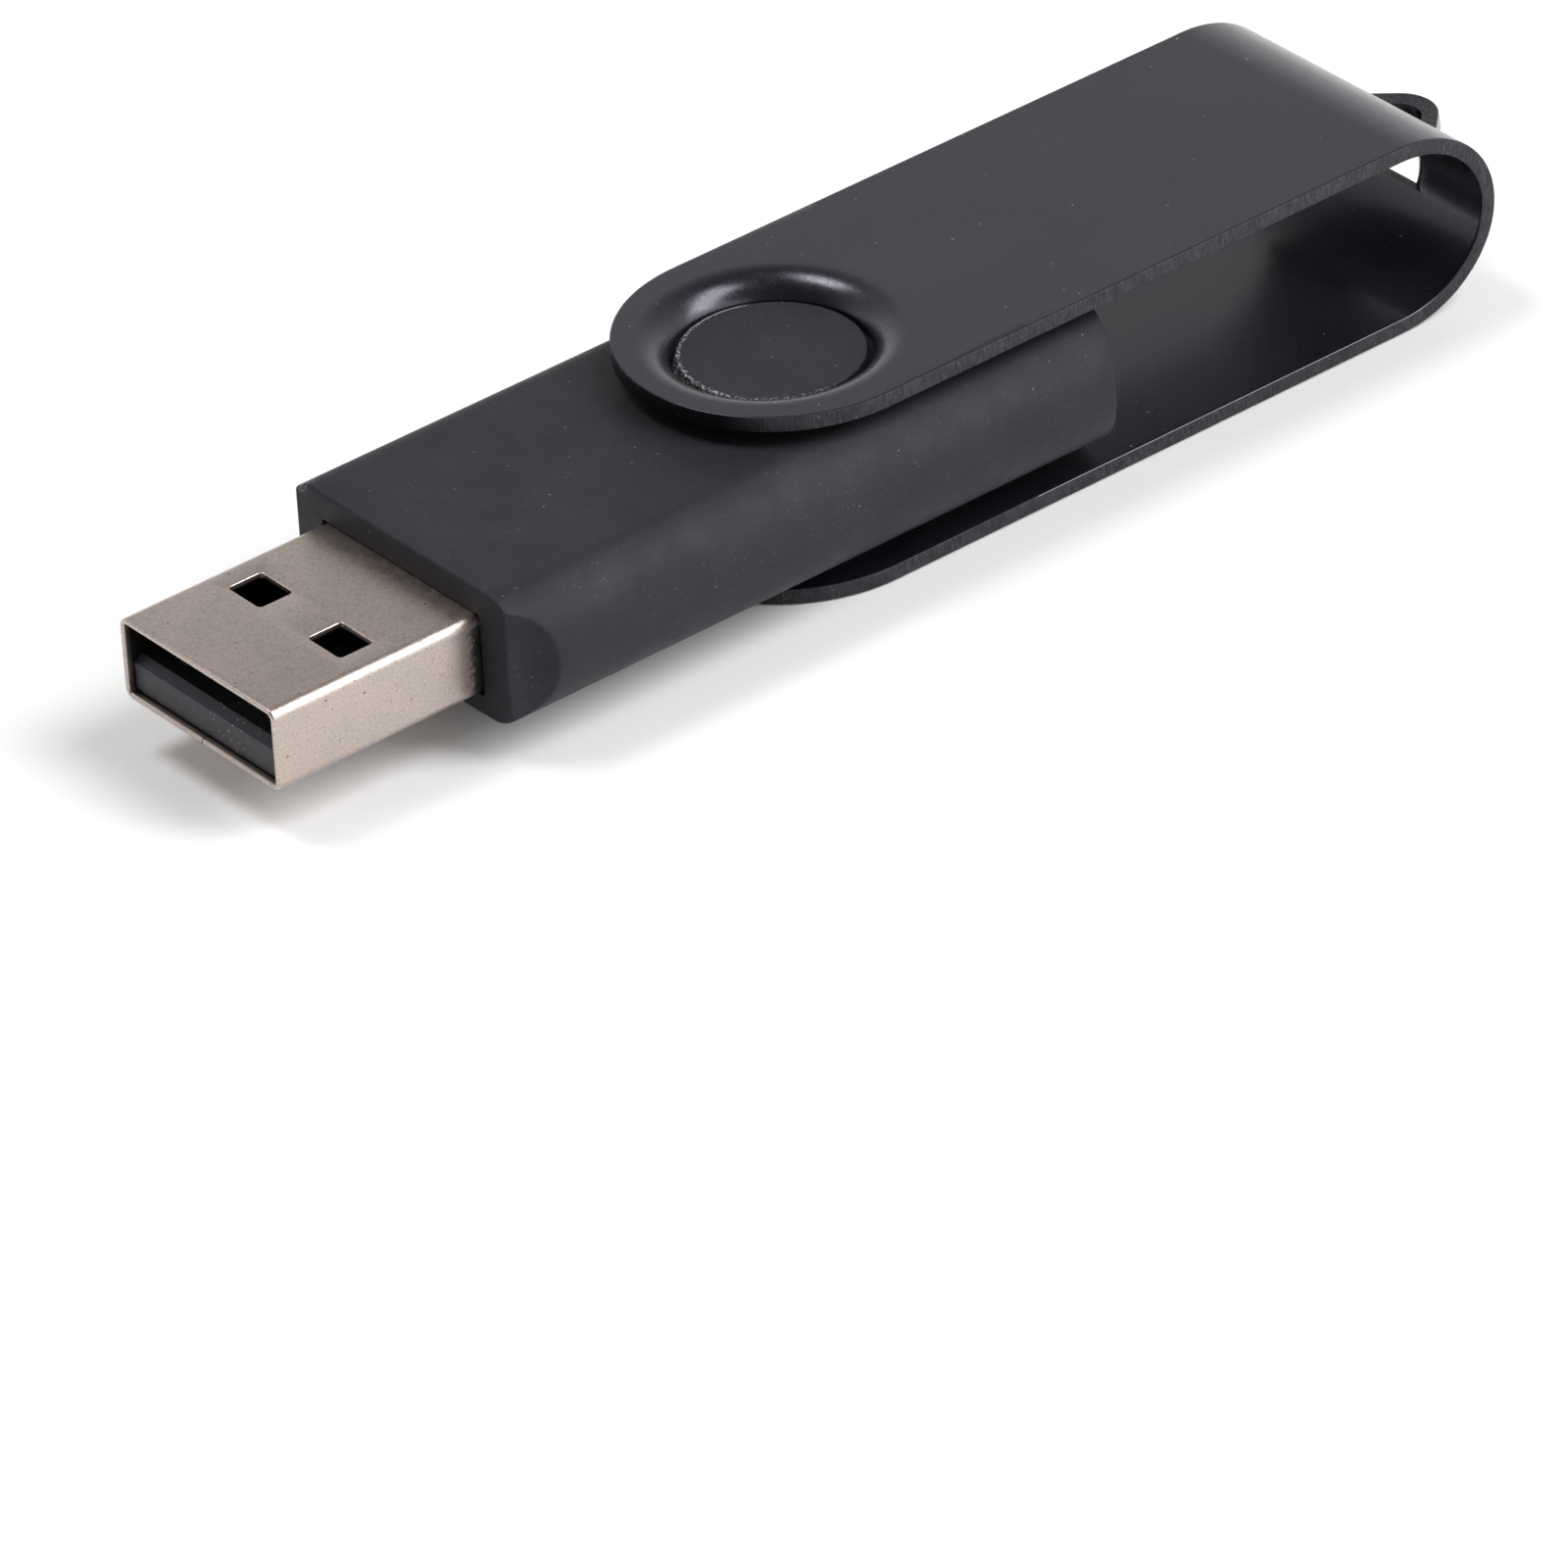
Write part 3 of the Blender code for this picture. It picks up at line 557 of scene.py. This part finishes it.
def cover_surface():
    """The outer face of the bent strip, with its collars and its lanced key-ring strip."""
    shape = bmesh.new()
    weight = shape.edges.layers.float.new("bevel_weight_edge")
    across = [COVER_HALF_WIDTH * (2 * i / COLUMNS - 1) for i in range(COLUMNS + 1)]
    top = math.asin(LOOP_TOP / COVER_HALF_HEIGHT)
    bottom = math.asin(LOOP_BOTTOM / COVER_HALF_HEIGHT)
    quarter = math.pi / 2
    arm_x = [JOIN_X] + spaced(JOIN_X, BEND_START, ARM_ROWS)
    profile = [(x, COVER_HALF_HEIGHT) for x in arm_x]
    turns = spaced(quarter, top, BEND_ROWS) + spaced(top, bottom, LOOP_ROWS)
    turns += spaced(bottom, -quarter, BEND_ROWS)
    for angle in turns:
        profile.append((
            BEND_START + BEND_DEPTH * math.cos(angle), COVER_HALF_HEIGHT * math.sin(angle)))
    profile += [(x, -COVER_HALF_HEIGHT) for x in reversed(arm_x[:-1])]
    first = ARM_ROWS + BEND_ROWS
    last = first + LOOP_ROWS
    middle = COLUMNS // 2
    slit = range(middle - SLIT_COLUMNS + 1, middle + SLIT_COLUMNS)

    rows = []
    for i, (x, z) in enumerate(profile):
        row = []
        for j, y in enumerate(across):
            out = bow(y) if first < i < last and j in slit else 0.0
            row.append(shape.verts.new((x + out, y, z)))
        rows.append(row)

    strip = [list(row) for row in rows[first:last + 1]]
    for row in (strip[0], strip[-1]):
        for j in slit:
            x, y, z = row[j].co
            row[j] = shape.verts.new((x + bow(y), y, z))
    grid_faces(shape, rows[:first + 1])
    grid_faces(shape, strip)
    grid_faces(shape, rows[last:])
    round_arm(shape, 1, rows[0])
    round_arm(shape, -1, rows[-1])
    for edge in shape.edges:
        if edge.is_boundary:
            a, b = (v.co for v in edge.verts)
            inside = min(abs(a.y), abs(b.y)) < COVER_HALF_WIDTH - 0.5
            edge[weight] = 0.0 if inside and a.x > BEND_START else 1.0
    face_outwards(shape)
    return shape


def swivel_cover(paint, edge):
    """The cover as one bent sheet."""
    cover = add_piece("swivel_cover_sheet", cover_surface(), [paint, edge])
    thicken(cover, COVER_SHEET, rim_material=1)
    round_weighted(cover, EDGE_ROUNDING)
    finish_mesh(cover)
    return place_piece(cover, "cover", "swivel_cover")


# ---------------------------------------------------------------- plug

def plug_tube():
    """The folded tube as a closed solid, with its mouth's two edges rounded."""
    shape = bmesh.new()
    near_mouth = PLUG_MOUTH + 0.8
    quarter = [0.0] + spaced(0.0, math.pi / 2, 4)
    profile = [(PLUG_REAR, 0.0)] + [(x, 0.0) for x in spaced(PLUG_REAR, near_mouth, 16)]
    profile.append((PLUG_MOUTH + 0.3, 0.0))
    for turn in quarter:
        profile.append((
            PLUG_MOUTH + PLUG_RIM * (1 - math.sin(turn)), PLUG_RIM * (1 - math.cos(turn))))
    for turn in quarter:
        profile.append((
            PLUG_MOUTH + PLUG_RIM * (1 - math.cos(turn)), PLUG_SHEET - PLUG_RIM * (1 - math.sin(turn))))
    profile += [(near_mouth, PLUG_SHEET), (PLUG_REAR, PLUG_SHEET)]
    rings = []
    for x, depth in profile:
        outline = rounded_outline(
            PLUG_HALF_WIDTH - depth, PLUG_HALF_HEIGHT - depth, PLUG_CORNER - depth, 8)
        ring = [shape.verts.new((x, y, z + PLUG_Z)) for y, z in outline]
        rings.append(ring + ring[:1])
    grid_faces(shape, rings + rings[:1])
    bmesh.ops.recalc_face_normals(shape, faces=shape.faces)
    return shape


def dovetail_seam():
    """Outline of the tube's seam as (x, y): a narrow line with two interlocking tabs."""
    sides = []
    for inset in (0.0, FOLD_SEAM):
        line = [(PLUG_MOUTH - 1.0, -inset)]
        for start in DOVETAILS:
            near = PLUG_MOUTH + start + inset
            far = PLUG_MOUTH + start + DOVETAIL_ROOT - inset
            depth = DOVETAIL_DEPTH - inset
            line += [
                (near, -inset), (near - DOVETAIL_FLARE, depth),
                (far + DOVETAIL_FLARE, depth), (far, -inset)]
        sides.append(line + [(PLUG_REAR + 1.0, -inset)])
    return sides[0] + sides[1][::-1]


def plug_shell(material):
    """The folded plug with its windows, its seam and its solder tabs."""
    shell = add_piece("plug_shell_folded", plug_tube(), [material])
    for face in (-1, 1):
        surface = PLUG_Z + face * PLUG_HALF_HEIGHT
        for hand in (-1, 1):
            y_middle = hand * WINDOW_PITCH / 2
            window = flared(
                WINDOW_SIZE[0] / 2, WINDOW_SIZE[1] / 2, WINDOW_CORNER, WINDOW_FLARE,
                surface, surface + face, surface - face)
            tool = loft_tool(window, lambda u, v, w: (WINDOW_X + u, y_middle + v, w))
            combine(shell, tool, "DIFFERENCE")
    seam = dovetail_seam()
    tool = loft_tool([(-BEYOND, seam), (PLUG_Z - 1.0, seam)], lambda u, v, w: (u, v, w))
    combine(shell, tool, "DIFFERENCE")
    rear = PLUG_REAR - TAB_LENGTH
    inner = PLUG_HALF_WIDTH - PLUG_CORNER
    wide = 2 * BEYOND
    cuts = ((inner, -BEYOND, BEYOND), (wide, TAB_TOP, BEYOND), (wide, -BEYOND, TAB_BOTTOM))
    for half_width, low, high in cuts:
        outline = [(-half_width, low), (half_width, low), (half_width, high), (-half_width, high)]
        tool = loft_tool([(rear, outline), (rear + BEYOND, outline)], lambda u, v, w: (w, u, v))
        combine(shell, tool, "DIFFERENCE")
    finish_mesh(shell, 35.0)
    return place_piece(shell, "housing", "plug_shell")


# ---------------------------------------------------------------- materials

WHITE = (1.0, 1.0, 1.0)
COOL = (0.88, 0.86, 1.0)     # tint of the black finishes' reflections
SOLDER = (0.55, 0.54, 0.52)

# Pairs of colours that a mottled finish goes between
RUBBER = (0.0175, 0.0171, 0.0202), (0.0222, 0.0218, 0.0256)
PAINT = (0.0072, 0.0067, 0.0105), (0.0100, 0.0088, 0.0115)
THIN_PAINT = (0.011, 0.0107, 0.012), (0.038, 0.037, 0.0405)
NICKEL = (0.455, 0.40, 0.365), (0.515, 0.43, 0.385)
INSULATOR = (0.018, 0.018, 0.021), (0.026, 0.026, 0.030)
TIN = (0.30, 0.28, 0.25), (0.42, 0.40, 0.37)
STEEL = (0.55, 0.55, 0.53), (0.66, 0.66, 0.64)
LAMINATE = (0.012, 0.095, 0.035), (0.03, 0.17, 0.07)
MOULDING = (0.016, 0.016, 0.018), (0.028, 0.028, 0.030)
PAPER = (0.935, 0.935, 0.935), (0.945, 0.945, 0.945)


class NodeTree:
    """The nodes of a material or a world under construction."""

    def __init__(self, owner):
        owner.use_nodes = True
        self.nodes = owner.node_tree.nodes
        self.links = owner.node_tree.links
        self.coordinates = self.add("ShaderNodeTexCoord")

    def add(self, kind, **settings):
        node = self.nodes.new(kind)
        for key, value in settings.items():
            setattr(node, key, value)
        return node

    def link(self, source, target):
        self.links.new(source, target)

    def spread(self, value, low, high, to_low=0.0, to_high=1.0, curve="LINEAR"):
        """Maps a range of values to another, clamped."""
        node = self.add("ShaderNodeMapRange", interpolation_type=curve, clamp=True)
        node.inputs["From Min"].default_value = low
        node.inputs["From Max"].default_value = high
        node.inputs["To Min"].default_value = to_low
        node.inputs["To Max"].default_value = to_high
        self.link(value, node.inputs["Value"])
        return node.outputs["Result"]

    def product(self, a, b):
        node = self.add("ShaderNodeMath", operation="MULTIPLY")
        self.link(a, node.inputs[0])
        self.link(b, node.inputs[1])
        return node.outputs[0]

    def component(self, vector, axis):
        node = self.add("ShaderNodeSeparateXYZ")
        self.link(vector, node.inputs[0])
        return node.outputs[axis]

    def measure(self, operation, vector, other=(0.0, 0.0, 0.0)):
        """A number from a vector: its LENGTH, or its DISTANCE or DOT_PRODUCT with another."""
        node = self.add("ShaderNodeVectorMath", operation=operation)
        self.link(vector, node.inputs[0])
        node.inputs[1].default_value = other
        return node.outputs["Value"]


class Finish(NodeTree):
    """A material. Its texture scales are in features per millimetre."""

    def __init__(self, name, roughness=0.5, metallic=0.0, specular=0.5, tint=WHITE):
        self.material = bpy.data.materials.new(name)
        super().__init__(self.material)
        self.shader = self.nodes["Principled BSDF"]
        self.shader.inputs["Roughness"].default_value = roughness
        self.shader.inputs["Metallic"].default_value = metallic
        self.shader.inputs["Specular IOR Level"].default_value = specular
        self.shader.inputs["Specular Tint"].default_value = (*tint, 1.0)
        self.bumps = None

    def place(self, stretch=(1.0, 1.0, 1.0), offset=(0.0, 0.0, 0.0)):
        """Object coordinates in millimetres, stretched for streaks."""
        mapping = self.add("ShaderNodeMapping")
        mapping.inputs["Scale"].default_value = [s / MM for s in stretch]
        mapping.inputs["Location"].default_value = offset
        self.link(self.coordinates.outputs["Object"], mapping.inputs["Vector"])
        return mapping.outputs["Vector"]

    def from_axis(self, stretch=(1.0, 1.0, 1.0)):
        """Millimetres from the swivel axis and the drive's middle height."""
        return self.place(stretch, [-a / MM * s for a, s in zip(AXIS, stretch)])

    def along(self, axis):
        """One coordinate of from_axis()."""
        return self.component(self.from_axis(), axis)

    def between(self, axis, centre, half):
        """One within a half width of a centre along an axis."""
        place = self.along(axis)
        above = self.spread(place, centre - half - 0.10, centre - half - 0.02)
        return self.product(above, self.spread(place, centre + half + 0.10, centre + half + 0.02))

    def radius(self):
        """Distance from the swivel axis."""
        return self.measure("LENGTH", self.from_axis((1.0, 1.0, 0.0)))

    def toward(self, angle):
        """How far out a point lies in a horizontal direction from the swivel axis."""
        turn = math.radians(angle)
        return self.measure("DOT_PRODUCT", self.from_axis(), (math.cos(turn), math.sin(turn), 0.0))

    def nearness(self, point, reach):
        """One at a point given in millimetres from the axis, falling to zero at a distance."""
        return self.spread(self.measure("DISTANCE", self.from_axis(), point), reach, 0.0)

    def noise(self, scale, detail=4.0, rough=0.55, stretch=(1.0, 1.0, 1.0)):
        node = self.add("ShaderNodeTexNoise")
        node.inputs["Scale"].default_value = scale
        node.inputs["Detail"].default_value = detail
        node.inputs["Roughness"].default_value = rough
        self.link(self.place(stretch), node.inputs["Vector"])
        return node.outputs["Fac"]

    def specks(self, scale, size, offset):
        """A mask of small separate dots, where size is a share of their spacing."""
        node = self.add("ShaderNodeTexVoronoi", feature="F1")
        node.inputs["Scale"].default_value = scale
        self.link(self.place(offset=offset), node.inputs["Vector"])
        return self.spread(node.outputs["Distance"], size, size / 2)

    def blend(self, mask, below, above):
        """Colour above where the mask is one, over a colour or a colour output below."""
        node = self.add("ShaderNodeMix", data_type="RGBA")
        self.link(mask, node.inputs["Factor"])
        for socket, colour in ((node.inputs[6], below), (node.inputs[7], above)):
            if isinstance(colour, tuple):
                socket.default_value = (*colour, 1.0)
            else:
                self.link(colour, socket)
        return node.outputs[2]

    def mottled(self, value, low, high, colours):
        """Goes from the first colour to the second over a range of values."""
        return self.blend(self.spread(value, low, high), *colours)

    def sprinkled(self, base, layers, share, tint=WHITE):
        """A colour under layers of specks, each a (scale, size, tone, offset)."""
        for scale, size, tone, offset in layers:
            specks = self.product(self.specks(scale, size, offset), share)
            base = self.blend(specks, base, tuple(tone * channel for channel in tint))
        return base

    def colour(self, output):
        self.link(output, self.shader.inputs["Base Color"])

    def roughness(self, output):
        self.link(output, self.shader.inputs["Roughness"])

    def specular(self, output):
        self.link(output, self.shader.inputs["Specular IOR Level"])

    def bump(self, height, depth, strength=1.0):
        """Relief of a depth in millimetres, added to the relief so far."""
        node = self.add("ShaderNodeBump")
        node.inputs["Distance"].default_value = depth * MM
        node.inputs["Strength"].default_value = strength
        self.link(height, node.inputs["Height"])
        if self.bumps:
            self.link(self.bumps, node.inputs["Normal"])
        self.bumps = node.outputs["Normal"]
        self.link(self.bumps, self.shader.inputs["Normal"])


def soft_touch():
    """Rubbery black coating with faint clouding, dust, scuffs and moulding flash on the boss."""
    finish = Finish("soft_touch_black", specular=0.22, tint=COOL)
    clouds = finish.noise(0.22, 5.0, 0.6)
    base = finish.mottled(clouds, 0.35, 0.65, RUBBER)
    dust = (
        (0.8, 0.06, 0.16, (0.0, 0.0, 0.0)),
        (1.7, 0.09, 0.09, (3.0, 0.0, 3.0)),
        (2.6, 0.14, 0.065, (8.0, 0.0, 8.0)))
    base = finish.sprinkled(base, dust, finish.spread(clouds, 0.38, 0.62, 0.15, 0.8))

    # Flakes of flash round the boss's rim, most of them towards the plug, and a pale line on +Y.
    radius = finish.radius()
    rim = finish.product(
        finish.spread(radius, BOSS_RADIUS - 0.37, BOSS_RADIUS - 0.11),
        finish.spread(radius, BOSS_RADIUS + 0.28, BOSS_RADIUS + 0.13))
    rim = finish.product(rim, finish.spread(finish.toward(155.0), -3.0, 3.2, 0.22, 1.0))
    flakes = finish.product(rim, finish.spread(finish.noise(5.2, 4.0, 0.75), 0.45, 0.61))
    flakes = finish.spread(flakes, 0.23, 0.60)
    base = finish.blend(flakes, base, (0.29, 0.29, 0.30))
    line = finish.product(
        finish.spread(radius, BOSS_RADIUS - 0.17, BOSS_RADIUS - 0.14),
        finish.spread(radius, BOSS_RADIUS + 0.23, BOSS_RADIUS + 0.13))
    line = finish.product(line, finish.spread(finish.toward(88.0), 4.20, 4.36))
    base = finish.blend(line, base, (0.26, 0.26, 0.27))

    # Small scuffs along the top's +Y edge, at the front corner and beside the cover's arm.
    grit = finish.spread(finish.noise(7.0, 4.0, 0.7), 0.40, 0.62)
    scuffs = (
        ((-23.0, 7.7, 3.55), 1.1), ((-22.2, 8.4, 3.4), 0.7), ((-8.0, 8.3, 3.4), 0.9))
    for point, reach in scuffs:
        scuff = finish.product(finish.nearness(point, reach), grit)
        base = finish.blend(finish.spread(scuff, 0.24, 0.45), base, (0.15, 0.15, 0.16))
    finish.colour(base)
    finish.roughness(finish.spread(finish.noise(0.6, 6.0, 0.6), 0.3, 0.7, 0.50, 0.62))
    finish.bump(finish.noise(9.0, 3.0, 0.6), 0.004)
    finish.bump(finish.noise(0.5, 2.0, 0.5), 0.02, 0.5)
    finish.bump(flakes, 0.03)
    return finish.material


def cover_paint():
    """Satin black paint on steel, a little dusty, and grainy down the collars."""
    finish = Finish("cover_black", specular=0.66, tint=COOL)
    shade = finish.noise(0.12, 4.0, 0.6)
    base = finish.mottled(shade, 0.35, 0.65, PAINT)
    dust = ((0.8, 0.065, 0.22, (5.0, 2.0, 1.0)), (2.0, 0.07, 0.12, (1.0, 2.0, 1.0)))
    finish.colour(finish.sprinkled(base, dust, finish.spread(shade, 0.4, 0.6, 0.3, 0.9)))
    collar = finish.spread(finish.radius(), COLLAR_RADIUS - 0.1, COLLAR_RADIUS - 0.9)
    grain = finish.product(collar, finish.spread(finish.noise(8.0, 3.0, 0.7), 0.38, 0.62))
    satin = finish.spread(finish.noise(2.5, 4.0, 0.6), 0.35, 0.65, 0.20, 0.25)
    finish.roughness(finish.product(satin, finish.spread(grain, 0.0, 1.0, 0.95, 1.4)))
    return finish.material


def sheared_edge():
    """Thin paint on an edge grained across by the shear, darker and duller at the arms' tips, where the
    darker colour is painted shade.
    """
    finish = Finish("sheared_edge_black", tint=COOL)
    grain = finish.noise(4.5, 5.0, 0.7, (1.6, 1.6, 0.45))
    base = finish.mottled(grain, 0.40, 0.66, THIN_PAINT)
    patches = finish.spread(finish.noise(0.7, 3.0, 0.6), 0.50, 0.62, 0.0, 0.6)
    base = finish.blend(patches, base, (0.012, 0.012, 0.0125))
    # Painted shade: the edge is darkened towards the arms' round tips, where it faces away from the
    # lamps; the same mask also lowers the sheen there.
    painted_shade_dull_tips = finish.spread(finish.along("X"), -5.0, -6.5)
    base = finish.blend(painted_shade_dull_tips, base, (0.007, 0.007, 0.0085))
    chips = finish.spread(finish.specks(1.5, 0.09, (1.0, 6.0, 2.0)), 0.0, 1.0, 0.0, 0.5)
    finish.colour(finish.blend(chips, base, (0.20, 0.20, 0.20)))
    finish.specular(finish.spread(painted_shade_dull_tips, 0.0, 1.0, 0.32, 0.05))
    finish.roughness(finish.spread(grain, 0.3, 0.7, 0.60, 0.42))
    finish.bump(finish.noise(6.0, 5.0, 0.65), 0.025)
    finish.bump(grain, 0.03)
    return finish.material


def nickel():
    """Warm nickel plating with dark pits, grainy where it leaves the housing, and with painted shade
    inside the tube.
    """
    finish = Finish("plug_nickel", metallic=1.0)
    clouds = finish.noise(0.45, 6.0, 0.65)
    base = finish.mottled(clouds, 0.35, 0.65, NICKEL)
    speckle = finish.noise(7.0, 4.0, 0.8)
    base = finish.blend(finish.spread(speckle, 0.54, 0.68, 0.0, 0.8), base, (0.23, 0.195, 0.17))
    base = finish.blend(finish.spread(speckle, 0.45, 0.32, 0.0, 0.7), base, (0.66, 0.59, 0.54))
    pits = ((1.1, 0.09, 0.06, (2.0, 4.0, 9.0)), (2.2, 0.11, 0.12, (2.0, 9.0, 9.0)))
    base = finish.sprinkled(
        base, pits, finish.spread(clouds, 0.42, 0.60, 0.25, 1.0), (1.0, 0.82, 0.7))

    plug_top = PLUG_Z + PLUG_HALF_HEIGHT
    root = finish.spread(finish.along("X"), BODY_FRONT - 1.4, BODY_FRONT, 0.2, 1.5)
    side = finish.spread(finish.along("Z"), plug_top - 0.1, plug_top - 0.65, 0.34, 1.0)
    worn = finish.product(finish.product(root, side), finish.noise(2.5, 6.0, 0.85))
    worn = finish.spread(worn, 0.38, 0.58, 0.0, 0.95)
    base = finish.blend(worn, base, (0.075, 0.068, 0.06))
    # Painted shade: the tube's inside, behind the mouth, is given a dark colour.
    within = finish.product(
        finish.between("Y", 0.0, PLUG_HALF_WIDTH - PLUG_SHEET),
        finish.between("Z", PLUG_Z, PLUG_HALF_HEIGHT - PLUG_SHEET))
    behind = finish.spread(finish.along("X"), PLUG_MOUTH + 0.1, PLUG_MOUTH + 0.4)
    base = finish.blend(finish.product(within, behind), base, (0.09, 0.075, 0.065))
    finish.colour(base)
    finish.roughness(finish.spread(finish.noise(2.5, 6.0, 0.7), 0.3, 0.7, 0.30, 0.40))
    finish.bump(finish.noise(7.0, 4.0, 0.7), 0.006)
    finish.bump(worn, 0.006)
    return finish.material


def insulator():
    """Dark grey moulded plastic with faint flow marks and a few crumbs near its front edge."""
    finish = Finish("insulator_black", specular=0.4, tint=COOL)
    base = finish.mottled(finish.noise(1.2, 5.0, 0.6, (0.4, 0.15, 2.5)), 0.3, 0.7, INSULATOR)
    near_edge = finish.spread(finish.nearness((PLUG_MOUTH + 0.5, -1.7, -0.6), 2.6), 0.1, 0.5)
    crumbs = finish.product(near_edge, finish.specks(3.2, 0.20, (3.0, 1.0, 2.0)))
    finish.colour(finish.blend(crumbs, base, (0.26, 0.25, 0.24)))
    finish.roughness(finish.spread(finish.noise(3.0), 0.3, 0.7, 0.38, 0.52))
    finish.bump(finish.noise(8.0, 3.0), 0.004)
    return finish.material


def plain_metal(name, colours, roughness):
    """Rolled metal with streaks along X."""
    finish = Finish(name, metallic=1.0)
    streaks = finish.noise(6.0, 5.0, 0.6, (0.1, 1.0, 1.0))
    finish.colour(finish.mottled(streaks, 0.3, 0.7, colours))
    finish.roughness(finish.spread(streaks, 0.3, 0.7, roughness - 0.05, roughness + 0.1))
    finish.bump(streaks, 0.002)
    return finish.material


def board_laminate():
    """Green solder mask with the weave of the laminate under it."""
    finish = Finish("board_green")
    finish.colour(finish.mottled(finish.noise(0.8, 4.0), 0.35, 0.65, LAMINATE))
    finish.roughness(finish.spread(finish.noise(4.0), 0.3, 0.7, 0.3, 0.5))
    for stretch in ((1.0, 0.15, 1.0), (0.15, 1.0, 1.0)):
        finish.bump(finish.noise(5.0, 2.0, 0.5, stretch), 0.006)
    return finish.material


def moulded_chip():
    """Dull black moulding compound."""
    finish = Finish("chip_black")
    grain = finish.noise(12.0, 4.0, 0.6)
    finish.colour(finish.mottled(grain, 0.3, 0.7, MOULDING))
    finish.roughness(finish.spread(finish.noise(2.0), 0.3, 0.7, 0.5, 0.7))
    finish.bump(grain, 0.006)
    return finish.material


def ceramic(name, body):
    """A small ceramic block with tinned ends, which are found from its own box."""
    finish = Finish(name, roughness=0.4)
    centre = finish.add("ShaderNodeMath", operation="SUBTRACT")
    centre.inputs[1].default_value = 0.5
    finish.link(finish.component(finish.coordinates.outputs["Generated"], "X"), centre.inputs[0])
    away = finish.add("ShaderNodeMath", operation="ABSOLUTE")
    finish.link(centre.outputs[0], away.inputs[0])
    ends = finish.spread(away.outputs[0], 0.28, 0.30)
    grain = finish.noise(9.0, 4.0)
    dark = tuple(0.8 * channel for channel in body)
    finish.colour(finish.blend(ends, finish.mottled(grain, 0.3, 0.7, (dark, body)), SOLDER))
    finish.link(ends, finish.shader.inputs["Metallic"])
    finish.bump(grain, 0.004)
    return finish.material


def dress_inner_nodes():
    """Materials and small rounded edges for the CAD nodes that stay."""
    chip = moulded_chip()
    looks = {
        "plug_insulator": insulator(),
        "circuit_board": board_laminate(),
        "memory_chip": chip,
        "controller_chip": chip,
        "crystal": plain_metal("crystal_steel", STEEL, 0.3)}
    families = {
        "contact": plain_metal("contact_tin", TIN, 0.45),
        "capacitor": ceramic("capacitor_tan", (0.42, 0.29, 0.17)),
        "resistor": ceramic("resistor_black", (0.03, 0.03, 0.035))}
    for name, node in frame["nodes"].items():
        look = looks.get(name) or families.get(name.split("_")[0])
        if look:
            node.data.materials.clear()
            node.data.materials.append(look)
    for name in ("plug_insulator", "circuit_board"):
        bevel = frame["nodes"][name].modifiers.new("rounding", "BEVEL")
        bevel.width = 0.05 * MM
        bevel.segments = 2
        bevel.limit_method = "ANGLE"
        bevel.angle_limit = math.radians(40)


# ---------------------------------------------------------------- studio

FLOOR_HALF_SIZE = 3.0        # metres
FLOOR_GAP = 0.00005          # metres under the drive, so that no faces coincide


def add_floor():
    """A large pale sheet that the drive lies on."""
    shape = bmesh.new()
    bmesh.ops.create_grid(shape, x_segments=8, y_segments=8, size=FLOOR_HALF_SIZE)
    mesh = bpy.data.meshes.new("floor")
    shape.to_mesh(mesh)
    shape.free()
    floor = bpy.data.objects.new("floor", mesh)
    floor.location.z = cad_low.z - FLOOR_GAP
    bpy.context.scene.collection.objects.link(floor)
    finish = Finish("floor_white", roughness=0.9, specular=0.1)
    finish.colour(finish.mottled(finish.noise(0.05, 3.0), 0.3, 0.7, PAPER))
    mesh.materials.append(finish.material)


def add_softbox(name, azimuth, elevation, distance, size, power):
    """A rectangular lamp that faces the drive; its distance and size are in metres."""
    toward = direction(azimuth, elevation)
    data = bpy.data.lights.new(name, "AREA")
    data.shape = "RECTANGLE"
    data.size, data.size_y = size
    data.energy = power
    lamp = bpy.data.objects.new(name, data)
    lamp.location = AXIS + toward * distance
    lamp.rotation_mode = "QUATERNION"
    lamp.rotation_quaternion = toward.to_track_quat("Z", "Y")
    bpy.context.scene.collection.objects.link(lamp)


def add_world():
    """A studio that is bright along the horizon, darker overhead and towards the left front."""
    world = bpy.data.worlds.new("studio")
    studio = NodeTree(world)
    way = studio.coordinates.outputs["Generated"]
    overhead = studio.spread(studio.component(way, "Z"), 0.12, 0.95, 1.05, 0.12)
    left_front = studio.measure("DOT_PRODUCT", way, direction(-58.0, 0.0))
    left_front = studio.spread(left_front, 0.05, 0.75, 1.0, 0.15, "SMOOTHSTEP")
    background = studio.nodes["Background"]
    background.inputs["Color"].default_value = (*WHITE, 1.0)
    studio.link(studio.product(overhead, left_front), background.inputs["Strength"])
    bpy.context.scene.world = world


add_camera()
body_finish = soft_touch()
housing_half(1, "housing_top_shell", "housing_top", body_finish)
housing_half(-1, "housing_bottom_shell", "housing_bottom", body_finish)
swivel_cover(cover_paint(), sheared_edge())
plug_shell(nickel())
dress_inner_nodes()
add_floor()
add_softbox("softbox_left", -149.0, 66.0, 2.0, (0.7, 0.7), 16.0)
add_softbox("softbox_right", 38.0, 46.0, 2.0, (0.9, 1.7), 37.0)
add_softbox("softbox_front", 20.0, 18.0, 2.5, (3.5, 1.2), 18.0)
add_world()
bpy.context.scene.view_settings.view_transform = "Standard"
